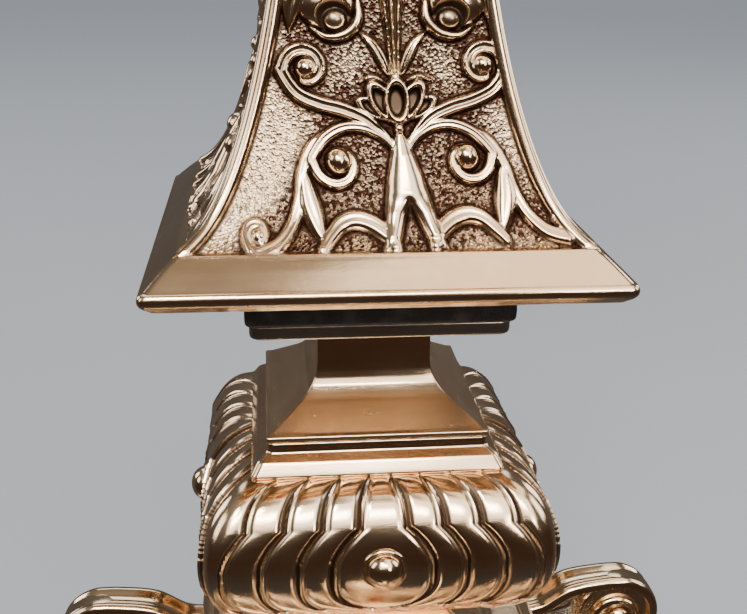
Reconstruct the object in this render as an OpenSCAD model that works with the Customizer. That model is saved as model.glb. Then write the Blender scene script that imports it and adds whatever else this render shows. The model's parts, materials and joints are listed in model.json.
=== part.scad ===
// Altar monstrance: four-sided foot, square stem with a lobed knop and a flared shaft,
// and a sunburst that carries a round glazed case (luna) with a hinged rear door.
// Millimetres. +Z is up, the front of the case faces -Y, and z = 0 is the table.

/* [Foot] */
// Width of the square base, flat to flat
foot_w = 188; // [180:2:200]
// Clear height of the ball feet under the base
foot_lift = 12; // [11:1:16]
// Height of the concave riser
riser_h = 56; // [50:1:64]

/* [Stem] */
// Width of the lobed knop, flat to flat
knop_w = 71; // [66:1:76]
// Height of the knop
knop_h = 30.4; // [28:0.2:34]
// Width of the flared shaft at its bottom moulding
flare_w = 84; // [80:1:90]
// Height of the flared shaft above its moulding
flare_h = 115; // [105:5:135]
// Radius of the tie rod that holds the stem together
rod_r = 4; // [3:0.5:4]

/* [Sunburst] */
// Radius of the sunburst, centre to the longest ray
glory_r = 150; // [135:5:160]
// Inner radius of the case
luna_r = 40; // [38:1:42]
// Number of rays in each of the two layers
ray_count = 60; // [60]
// Height of the cross above its ball
cross_h = 44; // [36:2:50]

/* [Moving parts] */
// Travel of the lunette out of its rail
lunette_travel = 26; // [20:1:30]

/* [Hidden] */
$fn = 64;

gilt = [0.80, 0.58, 0.38];
bright_gilt = [0.88, 0.70, 0.48];
dark_bronze = [0.25, 0.14, 0.09];
black_leather = [0.06, 0.05, 0.05];
steel = [0.66, 0.66, 0.68];
clear_glass = [0.85, 0.90, 0.92];

// Heights of the joints between the stacked parts, from the table up.
base_h = 14;
z_base = foot_lift;
z_riser = z_base + base_h;
z_cap = z_riser + riser_h;
z_lower_neck = z_cap + 8;
z_knop = z_lower_neck + 13;
z_plinth = z_knop + knop_h;
z_neck = z_plinth + 6.2;
z_abacus = z_neck + 22.6;
z_spacer = z_abacus + 2.8;
z_collar = z_spacer + 4.5;
z_flare = z_collar + 5.5;
z_shell = z_flare + 7.6;
z_stem_cap = z_shell + flare_h;
z_upper_knop = z_stem_cap + 14;
z_ferrule = z_upper_knop + 20;
z_stalk = z_ferrule + 20;
z_luna = z_stalk + 118;

// Half widths of the square members.
foot_half = foot_w / 2;
knop_half = knop_w / 2;
flare_half = flare_w / 2;
neck_half = 11.3;
plinth_half = 24.9;
riser_top_half = 34;

bore_r = rod_r + 0.3;
wall = 2.5;
eps = 0.01;

// ---- shared shapes ----

function mirrored(profile) = concat(
    [for (p = profile) [p[1], p[0]]],
    [for (i = [len(profile) - 1 : -1 : 0]) [-profile[i][1], profile[i][0]]]);

function moved_in(profile, by) = [for (p = profile) [p[0], p[1] - by]];

// A solid with a square plan and mitred corners. The profile lists [height, half width], bottom first.
module mitred(profile) {
    reach = 2 * max([for (p = profile) p[1]]) + 2;
    intersection() {
        rotate([90, 0, 0]) linear_extrude(reach, center = true) polygon(mirrored(profile));
        rotate([90, 0, 90]) linear_extrude(reach, center = true) polygon(mirrored(profile));
    }
}

// The hole that the tie rod passes through, from z0 to z1.
module rod_bore(z0, z1) translate([0, 0, z0 - eps]) cylinder(r = bore_r, h = z1 - z0 + 2 * eps);

// A cylinder along Y, from y0 to y1, on the axis of the case.
module disc(r, y0, y1) translate([0, y1, z_luna]) rotate([90, 0, 0]) cylinder(r = r, h = y1 - y0, $fn = 96);

module ring(r_out, r_in, y0, y1) difference() {
    disc(r_out, y0, y1);
    disc(r_in, y0 - 1, y1 + 1);
}

// A flat shape drawn in X and Z about the axis of the case, as a plate from y0 to y1.
module plate_xz(y0, y1) translate([0, y1, z_luna]) rotate([90, 0, 0]) linear_extrude(y1 - y0) children();

function lerp(a, b, t) = a + (b - a) * t;
function bezier(p, t) = let (s = 1 - t)
    s*s*s * p[0] + 3*s*s*t * p[1] + 3*s*t*t * p[2] + t*t*t * p[3];
function bezier_side(p, t) = let (s = 1 - t,
    d = 3*s*s * (p[1] - p[0]) + 6*s*t * (p[2] - p[1]) + 3*t*t * (p[3] - p[2])) [-d[1], d[0]] / norm(d);

// A band of even width along a cubic curve.
module band(p, width, steps = 10) polygon(concat(
    [for (i = [0 : steps]) bezier(p, i / steps) + bezier_side(p, i / steps) * width / 2],
    [for (i = [steps : -1 : 0]) bezier(p, i / steps) - bezier_side(p, i / steps) * width / 2]));

// ---- foot ----

foot_at = foot_half - 22;
screw_r = 2;

module at_corners() for (x = [-1, 1], y = [-1, 1]) translate([x * foot_at, y * foot_at, 0]) children();

module ball_feet() color(bright_gilt) at_corners() difference() {
    rotate_extrude() intersection() {
        union() {
            translate([0, 6.2]) scale([1.4, 1]) circle(6.8);
            translate([0, foot_lift - 2]) square([6, 4]);
        }
        square([20, foot_lift + 2]);
    }
    translate([0, 0, 5]) cylinder(r = screw_r + 0.05, h = 20);
}

module foot_screws() color(steel) at_corners() {
    translate([0, 0, 6]) cylinder(r = screw_r, h = foot_lift - 6 + 4);
    translate([0, 0, foot_lift + 4]) cylinder(r = 3.8, h = 2.4);
}

module bottom_plate() color(gilt) difference() {
    translate([-foot_half + 8, -foot_half + 8, z_base + 2]) cube([foot_w - 16, foot_w - 16, 2]);
    at_corners() translate([0, 0, foot_lift]) cylinder(r = screw_r + 0.1, h = 8);
    rod_bore(z_base + 2, z_base + 4);
}

base_profile = [[z_base, foot_half - 1.5], [z_base + 0.7, foot_half - 0.3], [z_base + 1.8, foot_half],
                [z_base + 3, foot_half - 0.5], [z_base + 4, foot_half - 2.2], [z_base + 4.3, foot_half - 4],
                [z_base + 5.5, foot_half - 4.6], [z_base + 7.5, foot_half - 6.4], [z_base + 9.5, foot_half - 9.5],
                [z_base + 11, foot_half - 12.4], [z_base + 12.5, foot_half - 13], [z_riser, foot_half - 14]];

module base_moulding() color(gilt) difference() {
    mitred(base_profile);
    mitred([[z_base - 1, foot_half - 8], [z_base + 4, foot_half - 8]]);
    mitred([[z_base + 3, foot_half - 16], [z_riser + 1, foot_half - 20]]);
}

riser_profile = [for (i = [0 : 14]) let (t = i / 14)
    [z_riser + riser_h * t, riser_top_half + (foot_half - 16 - riser_top_half) * pow(1 - t, 2.6)]];

module foot_riser() color(gilt) difference() {
    mitred(riser_profile);
    difference() {
        translate([0, 0, -0.001]) mitred(moved_in(riser_profile, wall));
        translate([-60, -60, z_cap - 3]) cube([120, 120, 10]);
    }
    rod_bore(z_cap - 3, z_cap);
}

// One bracket in the middle plane of a side: r runs outwards, z up. A large volute stands beside the cap,
// and an S-shaped stem runs down from it to a small volute on the base.
volute_r = 11.5;
scroll_foot = [foot_half - 22, z_riser + 6.5];
scroll_top = [riser_top_half + 26, z_cap - 2];
scroll_stem = [scroll_foot + [0, 5], scroll_foot + [-22, 10], scroll_top + [-16, -26], scroll_top + [2, -9]];
scroll_arm = [scroll_top + [-26, 4], scroll_top + [-18, 4], scroll_top + [-12, 9.5], scroll_top + [-3, 9]];

module side_scrolls() color(bright_gilt) difference() {
    for (a = [0 : 90 : 270]) rotate([90, 0, a]) linear_extrude(9, center = true) {
        translate(scroll_foot) circle(7);
        translate(scroll_top) circle(volute_r);
        band(scroll_stem, 5);
        band(scroll_arm, 5);
    }
    mitred(riser_profile);
    mitred(base_profile);
    mitred(cap_profile);
}

cap_profile = [for (i = [0 : 8]) let (a = -70 + i * 17.5)
    [z_cap + 4 + 4 * sin(a) / sin(70), 31.5 + 6 * cos(a)]];

module riser_cap() color(gilt) difference() {
    mitred(cap_profile);
    translate([0, 0, -0.001]) mitred([[z_cap - 1, 27], [z_cap + 5, 27]]);
    rod_bore(z_cap, z_lower_neck);
}

// ---- stem ----

lower_neck_profile = [[z_lower_neck, 27], [z_lower_neck + 1.5, 27], [z_lower_neck + 2, 25],
    [z_lower_neck + 3.5, 19], [z_lower_neck + 5.5, 15.6], [z_lower_neck + 7.5, 14.6],
    [z_lower_neck + 9.5, 15.6], [z_lower_neck + 11, 18.5], [z_lower_neck + 11.5, 20], [z_knop, 20]];

module lower_neck() color(gilt) difference() {
    mitred(lower_neck_profile);
    rod_bore(z_lower_neck, z_knop);
}

knop_mid = z_knop + knop_h / 2;
knop_end_half = plinth_half - 1.2;
// Quarter-round above and below the widest line.
knop_profile = [for (i = [0 : 16]) let (a = -90 + i * 11.25)
    [knop_mid + knop_h / 2 * sin(a), knop_end_half + (knop_half - knop_end_half) * cos(a)]];

// The cushion, with its upright corners rounded.
module knop_outer() intersection() {
    mitred(knop_profile);
    translate([0, 0, z_knop]) linear_extrude(knop_h) {
        square([knop_w, knop_w - 10], center = true);
        square([knop_w - 10, knop_w], center = true);
        for (x = [-1, 1], y = [-1, 1]) translate([x * (knop_half - 5), y * (knop_half - 5)]) circle(5);
    }
}

module knop() color(gilt) difference() {
    knop_outer();
    intersection() {
        mitred(moved_in(knop_profile, 3));
        translate([-50, -50, z_knop + 3]) cube([100, 100, knop_h - 6]);
    }
    rod_bore(z_knop, z_plinth);
    for (a = [0 : 90 : 270]) rotate([0, 0, a]) translate([0, 0, knop_mid]) rotate([90, 0, 0])
        cylinder(r = 1.55, h = 50);
}

// A domed stud in the middle of each side, with a shank through the wall.
stud_r = 3.6;
module stud() rotate_extrude() polygon(concat([[0, -6], [1.5, -6], [1.5, 0], [stud_r, 0]],
    [for (a = [0 : 15 : 90]) [stud_r * cos(a), 0.7 + 3.1 * sin(a)]]));

module knop_studs() color(bright_gilt) for (a = [0 : 90 : 270])
    rotate([0, 0, a]) translate([0, -knop_half, knop_mid]) rotate([90, 0, 0]) stud();

plinth_profile = [[z_plinth, plinth_half - 0.7], [z_plinth + 0.7, plinth_half - 0.1],
    [z_plinth + 1.5, plinth_half], [z_plinth + 2.3, plinth_half - 0.3], [z_plinth + 2.7, plinth_half - 0.9],
    [z_plinth + 3.6, plinth_half - 2.2], [z_plinth + 4, plinth_half - 2.4], [z_plinth + 4, plinth_half - 3.1],
    [z_plinth + 5.9, plinth_half - 3.1], [z_neck, plinth_half - 3.4]];

module plinth() color(gilt) difference() {
    mitred(plinth_profile);
    rod_bore(z_plinth, z_neck);
}

// A hollow moulding (scotia) that sweeps out to the plinth, with a small fillet under the abacus.
neck_rise = z_abacus - z_neck;
neck_profile = concat(
    [for (i = [0 : 8]) let (a = i * 11.25)
        [z_neck + 9.6 * sin(a), lerp(plinth_half - 3.9, neck_half, sin(a) * 0.15 + (1 - cos(a)) * 0.85)]],
    [[z_neck + neck_rise - 3, neck_half], [z_neck + neck_rise - 2.4, neck_half + 0.7], [z_abacus, neck_half + 0.7]]);

module neck() color(gilt) difference() {
    mitred(neck_profile);
    rod_bore(z_neck, z_abacus);
}

module abacus() color(dark_bronze) difference() {
    mitred([[z_abacus, 24.1], [z_abacus + 0.3, 24.4], [z_spacer - 0.4, 24.4], [z_spacer, 24]]);
    rod_bore(z_abacus, z_spacer);
}

module spacer() color(black_leather) difference() {
    mitred([[z_spacer, 24.9], [z_spacer + 0.3, 25.2], [z_collar - 0.3, 25.2], [z_collar, 24.9]]);
    rod_bore(z_spacer, z_collar);
}

module flare_collar() color(dark_bronze) difference() {
    mitred([[z_collar, 23], [z_collar + 1.5, 23], [z_collar + 2.5, 20], [z_flare, 20]]);
    rod_bore(z_collar, z_flare);
}

module flare_floor() color(gilt) difference() {
    mitred([[z_flare, 33], [z_flare + 2.5, 33]]);
    rod_bore(z_flare, z_flare + 2.5);
}

panel_half = flare_half - 6.1;
// A rounded nose, a small step and a convex shoulder up to the shaft.
moulding_profile = concat(
    [[z_flare, flare_half - 2.2], [z_flare + 0.3, flare_half - 1.2], [z_flare + 1.1, flare_half - 0.3],
     [z_flare + 2, flare_half], [z_flare + 2.9, flare_half - 0.15], [z_flare + 3.4, flare_half - 0.7]],
    [for (i = [0 : 5]) let (t = i / 5)
        [lerp(z_flare + 3.6, z_shell, t), lerp(flare_half - 1.1, panel_half, t) + 0.9 * sin(180 * t)]]);

module flare_moulding() color(gilt) difference() {
    mitred(moulding_profile);
    mitred([[z_flare - 1, 33], [z_shell + 1, 33]]);
}

// Half width of the shaft at a height h above the moulding: a quick flare that eases into a slow taper.
function shaft_half(h) = panel_half - 32.4 + 29.4 / (1 + 2.45 * h / flare_h) + 3 * exp(-h / 3);
shell_profile = [for (i = [0 : 18]) let (t = pow(i / 18, 1.7))
    [z_shell + flare_h * t, shaft_half(flare_h * t)]];

module flare_shell() color(gilt) difference() {
    mitred(shell_profile);
    difference() {
        translate([0, 0, -0.001]) mitred(moved_in(shell_profile, wall));
        translate([-30, -30, z_stem_cap - 3]) cube([60, 60, 10]);
    }
    rod_bore(z_stem_cap - 3, z_stem_cap);
}

cap_half = shaft_half(flare_h);
module stem_cap() color(bright_gilt) difference() {
    mitred([[z_stem_cap, cap_half + 1], [z_stem_cap + 1, cap_half + 2], [z_stem_cap + 2, cap_half + 1],
            [z_stem_cap + 3, cap_half], [z_stem_cap + 5.5, cap_half + 1], [z_stem_cap + 7.5, cap_half + 4],
            [z_stem_cap + 8.5, cap_half + 6], [z_stem_cap + 11, cap_half + 6], [z_stem_cap + 11.5, cap_half + 5],
            [z_stem_cap + 12.5, cap_half + 4], [z_upper_knop, cap_half + 3]]);
    rod_bore(z_stem_cap, z_upper_knop);
}

module upper_knop() color(gilt) difference() {
    translate([0, 0, z_upper_knop]) rotate_extrude() polygon(concat([[0, 0], [9, 0], [9, 1.5], [7, 2.5]],
        [for (a = [-60 : 12 : 60]) [5.6 + 9 * cos(a), 10 + 8 * sin(a) / sin(60) * 0.9]],
        [[7, 17.5], [9, 18.5], [9, 20], [0, 20]]));
    rod_bore(z_upper_knop, z_ferrule);
}

tenon_r = 5;
module ferrule() color(bright_gilt) difference() {
    translate([0, 0, z_ferrule]) rotate_extrude() polygon([[0, 0], [8.5, 0], [9.5, 1], [8.5, 2], [7.6, 3.5],
        [7.6, 8], [8.4, 12], [9.4, 14], [9.4, 17], [10.4, 17.6], [10.4, 19.4], [9.8, 20], [0, 20]]);
    translate([0, 0, z_ferrule - eps]) cylinder(r = rod_r + 0.05, h = 9);
    translate([0, 0, z_ferrule + 11]) cylinder(r = tenon_r, h = 10);
    translate([0, 0, z_ferrule + 15.5]) rotate([-90, 0, 0]) cylinder(r = 1.6, h = 12);
}

module ferrule_screw() color(steel) translate([0, 0, z_ferrule + 15.5]) rotate([-90, 0, 0]) {
    translate([0, 0, tenon_r]) cylinder(r = 1.5, h = 6);
    translate([0, 0, 10.5]) cylinder(r = 2.8, h = 3.4);
}

module tie_rod() color(steel) translate([0, 0, 5]) cylinder(r = rod_r, h = z_ferrule + 8.5 - 5);

module rod_nut() color(steel) translate([0, 0, z_base - 4.6]) difference() {
    cylinder(r = 7.2, h = 5, $fn = 6);
    translate([0, 0, -1]) cylinder(r = rod_r + 0.02, h = 8);
}

module rod_washer() color(steel) translate([0, 0, z_base + 0.4]) difference() {
    cylinder(r = 11, h = 1.6);
    translate([0, 0, -1]) cylinder(r = bore_r, h = 5);
}

// ---- sunburst ----

ring_r = 60;
stalk_half = 8;

module stalk() color(gilt) {
    difference() {
        translate([0, 3, 0]) rotate([90, 0, 0]) linear_extrude(6) polygon(mirrored(
            [[z_stalk, 7], [z_stalk + 2, 8.5], [z_stalk + 4, 7], [z_stalk + 9, 5], [z_stalk + 18, 6.5],
             [z_stalk + 24, 9.5], [z_stalk + 29, 7], [z_stalk + 33, 8], [z_stalk + 36, 6.5],
             [z_luna - ring_r - 12, 5.5], [z_luna - ring_r - 4, stalk_half], [z_luna - 40, stalk_half]]));
        disc(luna_r + 4, -10, 10);
    }
    translate([0, 0, z_stalk - 8.8]) cylinder(r = tenon_r - 0.05, h = 8.8 + eps);
}

// Twelve groups of five rays. A group's middle ray is the longest, and the shares fall to its sides.
function ray_share(i) = [1, 0.88, 0.74, 0.74, 0.88][i % 5];
function ray_turn(i) = 90 + i * 360 / ray_count;
// The top ray is a flat tongue for the cross, and the bottom ones stop at the ring for the stalk.
function ray_len(i, reach) = abs(ray_turn(i) - 270) < 7 ? ring_r + 0.5 :
    i == 0 ? glory_r - 10 : ring_r + (reach - ring_r) * ray_share(i);
function ray_points(i, reach, turn) = let (a = ray_turn(i) + turn, r = ray_len(i, reach),
    half = ring_r * PI / ray_count - 0.25, tip = i == 0 && turn == 0 ? 4 : 0.4,
    mid = i == 0 && turn == 0 ? 4 : half * 0.8)
    [for (q = [[ring_r - 1, half], [r * 0.86, mid], [r, tip], [r, -tip], [r * 0.86, -mid], [ring_r - 1, -half]])
        [q[0] * cos(a) + q[1] * sin(a), q[0] * sin(a) - q[1] * cos(a)]];

module ray_layer(y0, y1, reach, turn, skip_top) color(gilt) difference() {
    plate_xz(y0, y1) difference() {
        polygon([for (i = [0 : ray_count - 1]) each ray_points(i, skip_top && i == 0 ? ring_r + 1 : reach, turn)]);
        circle(luna_r + 4, $fn = 96);
        translate([-stalk_half, -ring_r - 40]) square([2 * stalk_half, 60]);
    }
    glory_screw_holes();
}

module front_rays() ray_layer(-3, 0, glory_r, 0, false);
module rear_rays() ray_layer(0, 3, glory_r * 0.92, 3, false);

screw_ring_r = 53;
module at_glory_screws() for (a = [45 : 90 : 315])
    translate([screw_ring_r * cos(a), 0, z_luna + screw_ring_r * sin(a)]) rotate([90, 0, 0]) children();
module glory_screw_holes() at_glory_screws() translate([0, 0, -6]) cylinder(r = 1.3, h = 12);

module glory_ring() color(bright_gilt) difference() {
    translate([0, -3, z_luna]) rotate([90, 0, 0]) rotate_extrude($fn = 96) translate([47.5, 0]) polygon(
        [[0, 0], [16, 0], [16, 1.5], [14.5, 2.5], [12, 4.4], [8, 5.2], [4, 4.4], [1.5, 2.5], [0, 2]]);
    glory_screw_holes();
}

module glory_screws() color(steel) at_glory_screws() {
    translate([0, 0, -3]) cylinder(r = 1.2, h = 8);
    translate([0, 0, -4.6]) cylinder(r = 2.6, h = 1.6);
}

// The top ray is gripped in the slot of the ball.
module ball_solid() translate([0, 0, z_luna + glory_r - 7]) sphere(r = 8);
module cross_base() color(bright_gilt) difference() {
    ball_solid();
    translate([-4, -3, z_luna + glory_r - 30]) cube([8, 3, 20]);
    translate([-4, 0, z_luna + glory_r - 30]) cube([8, 3, 15.4]);
}

cross_foot = z_luna + glory_r;
module top_cross() color(bright_gilt) difference() {
    translate([0, 2.2, cross_foot]) rotate([90, 0, 0]) linear_extrude(4.4) {
        translate([-2.6, -1]) square([5.2, cross_h - 3]);
        translate([-cross_h * 0.3, cross_h * 0.58]) square([cross_h * 0.6, 5.2]);
        for (p = [[0, cross_h - 3.6], [-cross_h * 0.3, cross_h * 0.58 + 2.6], [cross_h * 0.3, cross_h * 0.58 + 2.6]])
            translate(p) circle(3.6);
    }
    ball_solid();
}

// ---- case ----

case_y = 11;
hinge_x = luna_r + 9;
hinge_y = 13;
barrel_r = 2.6;
pin_r = 1.2;

module barrel(z0, z1) translate([hinge_x, hinge_y, z_luna + z0]) cylinder(r = barrel_r, h = z1 - z0);
module pin_hole() translate([hinge_x, hinge_y, z_luna - 20]) cylinder(r = pin_r + 0.05, h = 40);

module latch_at() translate([-hinge_x - 0.5, 0, z_luna]) rotate([-90, 0, 0]) children();

module luna_drum() color(gilt) difference() {
    union() {
        ring(luna_r + 4, luna_r, -case_y, case_y);
        for (z = [-12, 5]) {
            difference() {
                union() {
                    translate([luna_r + 2, 7.6, z_luna + z]) cube([7, case_y - 7.6, 7]);
                    translate([hinge_x - 2, 7.6, z_luna + z]) cube([4, hinge_y - 7.6, 7]);
                }
                disc(luna_r + 3, -20, 20);
            }
            barrel(z, z + 7);
        }
        difference() {
            translate([-hinge_x - 3.5, 5.5, z_luna - 3]) cube([9, case_y - 5.5, 6]);
            disc(luna_r + 3, -20, 20);
        }
    }
    pin_hole();
    latch_at() translate([0, 0, 6]) cylinder(r = 1.3, h = 12);
}

module front_bezel() color(bright_gilt) translate([0, -case_y, z_luna]) rotate([90, 0, 0])
    rotate_extrude($fn = 96) translate([luna_r - 3, 0]) polygon(
        [[0, 0], [10, 0], [10, 1], [9, 2], [7, 3.6], [4.5, 4.2], [2.5, 3.4], [0, 1.2]]);

module front_glass() color(clear_glass) disc(luna_r - 0.2, -case_y, -case_y + 2);
module glass_retainer() color(gilt) ring(luna_r - 0.1, luna_r - 2.2, -case_y + 2, -case_y + 3.4);

rail_top = -36;
module lunette_rail() color(gilt) difference() {
    intersection() {
        translate([-5, -6.5, z_luna - luna_r]) cube([10, 17, luna_r + rail_top]);
        disc(luna_r, -20, 20);
    }
    translate([-2.05, -10, z_luna + rail_top - 2.1]) cube([4.1, 30, 3]);
}

host_r = 33.5;
clip_in = 31.5;
rail_gap = 0.05;
// One jaw of the clip: a crescent, thickest at the bottom, that stops below the middle of the case.
module crescent(y0, y1) difference() {
    disc(host_r, y0, y1);
    translate([0, 0, 3.6]) disc(clip_in, y0 - 1, y1 + 1);
    translate([-60, -20, z_luna - 8]) cube([120, 40, 80]);
}

jaw_y = 2.6;
jaw_z = -host_r - 0.4;
module jaw_bore() translate([-10, jaw_y, z_luna + jaw_z]) rotate([0, 90, 0]) cylinder(r = 0.55, h = 20);

module lunette() color(bright_gilt) difference() {
    union() {
        crescent(-1.9, -0.7);
        translate([-1.95, -3, z_luna + rail_top - 2]) cube([3.9, 8, 2.4]);
        translate([-3, -1.9, z_luna + rail_top + rail_gap]) cube([6, 1.2, 3.5]);
        translate([-3, -1.9, z_luna + rail_top + rail_gap]) cube([6, 5.9, 0.6]);
        for (x = [-3, 2]) translate([x, -1.9, z_luna + rail_top + rail_gap]) cube([1, 5.9, 3.2]);
    }
    jaw_bore();
}

module lunette_jaw() color(bright_gilt) difference() {
    union() {
        crescent(0.7, 1.9);
        translate([-1.8, 0.7, z_luna + jaw_z]) cube([3.6, 1.9, 2]);
        translate([-1.8, jaw_y, z_luna + jaw_z]) rotate([0, 90, 0]) cylinder(r = 1.2, h = 3.6);
    }
    jaw_bore();
    // Room for the lunette's cheeks on both sides of the lug.
    for (x = [-3.4, 1.8]) translate([x, 0, z_luna + rail_top]) cube([1.6, 5, 3.5]);
}

module jaw_pin() color(steel) translate([-3.4, jaw_y, z_luna + jaw_z]) rotate([0, 90, 0])
    cylinder(r = 0.5, h = 6.8);

door_y = case_y + 0.3;
module door_ring() color(bright_gilt) difference() {
    union() {
        ring(luna_r + 5, luna_r - 3, door_y, door_y + 3.7);
        translate([luna_r + 3.6, door_y, z_luna - 4.7]) cube([hinge_x - luna_r - 3.6, 3.7, 9.4]);
        barrel(-4.7, 4.7);
    }
    disc(luna_r - 0.8, door_y - 1, door_y + 2.5);
    pin_hole();
}
module rear_glass() color(clear_glass) disc(luna_r - 0.9, door_y + 0.9, door_y + 2.5);
module rear_retainer() color(gilt) ring(luna_r - 0.8, luna_r - 2.6, door_y, door_y + 0.9);

module hinge_pin() color(steel) {
    translate([hinge_x, hinge_y, z_luna - 12.8]) cylinder(r = pin_r, h = 25.6);
    for (z = [-13.6, 12.4]) translate([hinge_x, hinge_y, z_luna + z]) cylinder(r = 2, h = 1.2);
}

latch_y = door_y + 3.7 + 0.3;
module latch() color(bright_gilt) difference() {
    union() {
        translate([-hinge_x - 0.5, latch_y + 2, z_luna]) rotate([90, 0, 0]) cylinder(r = 3.4, h = 2);
        translate([-hinge_x - 2.3, latch_y, z_luna]) cube([3.6, 2, 9.5]);
    }
    latch_at() cylinder(r = 1.25, h = 30);
}

module latch_post() color(steel) difference() {
    union() {
        latch_at() translate([0, 0, case_y]) cylinder(r = 2.2, h = latch_y - case_y - 0.15);
        latch_at() translate([0, 0, 7]) cylinder(r = 1.2, h = latch_y + 3.6 - 7);
        latch_at() translate([0, 0, latch_y + 2.15]) cylinder(r = 2.5, h = 1.5);
    }
    latch_at() translate([-0.3, -4, latch_y + 3]) cube([0.6, 8, 2]);
}

ball_feet();
foot_screws();
bottom_plate();
base_moulding();
foot_riser();
side_scrolls();
riser_cap();
lower_neck();
knop();
knop_studs();
plinth();
neck();
abacus();
spacer();
flare_collar();
flare_floor();
flare_moulding();
flare_shell();
stem_cap();
upper_knop();
ferrule();
ferrule_screw();
tie_rod();
rod_nut();
rod_washer();
stalk();
front_rays();
rear_rays();
glory_ring();
glory_screws();
luna_drum();
front_bezel();
front_glass();
glass_retainer();
lunette_rail();
lunette();
lunette_jaw();
jaw_pin();
door_ring();
rear_glass();
rear_retainer();
hinge_pin();
latch();
latch_post();
cross_base();
top_cross();
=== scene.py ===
"""Altar monstrance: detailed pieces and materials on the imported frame.

The frame is in metres. Shapes here are drawn in millimetres and scaled by MM when a mesh is made.
"""
import json
from math import atan2, cos, pi, radians, sin
import bpy
import numpy as np
from mathutils import Matrix, Vector


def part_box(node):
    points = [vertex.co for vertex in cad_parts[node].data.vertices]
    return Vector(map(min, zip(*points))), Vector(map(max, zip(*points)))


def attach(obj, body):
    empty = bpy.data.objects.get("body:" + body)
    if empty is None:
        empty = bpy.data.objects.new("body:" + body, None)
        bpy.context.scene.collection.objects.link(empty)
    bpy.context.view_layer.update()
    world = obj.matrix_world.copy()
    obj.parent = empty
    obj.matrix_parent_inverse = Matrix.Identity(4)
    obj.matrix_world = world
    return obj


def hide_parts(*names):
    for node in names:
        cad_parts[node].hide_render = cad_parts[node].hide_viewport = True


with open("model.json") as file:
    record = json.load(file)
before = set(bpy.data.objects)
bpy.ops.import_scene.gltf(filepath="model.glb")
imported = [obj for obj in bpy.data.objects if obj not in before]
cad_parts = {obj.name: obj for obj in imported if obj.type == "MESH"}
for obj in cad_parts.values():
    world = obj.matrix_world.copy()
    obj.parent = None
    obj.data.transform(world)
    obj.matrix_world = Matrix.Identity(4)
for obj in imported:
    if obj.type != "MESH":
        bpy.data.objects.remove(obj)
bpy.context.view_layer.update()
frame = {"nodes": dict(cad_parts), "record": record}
NODES = frame["nodes"]
MM = 0.001


# ---- places taken from the frame ----

def low(node):
    return np.array(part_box(node)[0]) / MM


def high(node):
    return np.array(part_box(node)[1]) / MM


Z_BASE = low("base_moulding")[2]
Z_RISER = high("base_moulding")[2]
Z_CAP = high("foot_riser")[2]
Z_LOWER_NECK = low("lower_neck")[2]
Z_PLINTH = low("plinth")[2]
Z_NECK = low("neck")[2]
Z_ABACUS = low("abacus")[2]
Z_SPACER = low("spacer")[2]
Z_COLLAR = low("flare_collar")[2]
Z_FLARE = low("flare_moulding")[2]
Z_SHELL = low("flare_shell")[2]
Z_STEM_CAP = low("stem_cap")[2]
Z_UPPER_KNOP = low("upper_knop")[2]
Z_FERRULE = low("ferrule")[2]
Z_STALK = high("ferrule")[2]
Z_LUNA = (low("front_bezel")[2] + high("front_bezel")[2]) / 2
FOOT_HALF = high("base_moulding")[0]
CAP_HALF = high("riser_cap")[0]
KNOP_HALF = high("knop")[0]
PLINTH_HALF = high("plinth")[0]
FLARE_HALF = high("flare_moulding")[0]
FLARE_H = Z_STEM_CAP - Z_SHELL
# How far in from the base's edge the ball feet and the small volutes are, how far the cap's nose stands out
# over the riser's top, and how far the big volutes are from that top.
FOOT_INSET = 22
CAP_NOSE = 3.5
VOLUTE_OUT = 26
RAY_R = high("front_rays")[0]


# ---- materials ----

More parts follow.
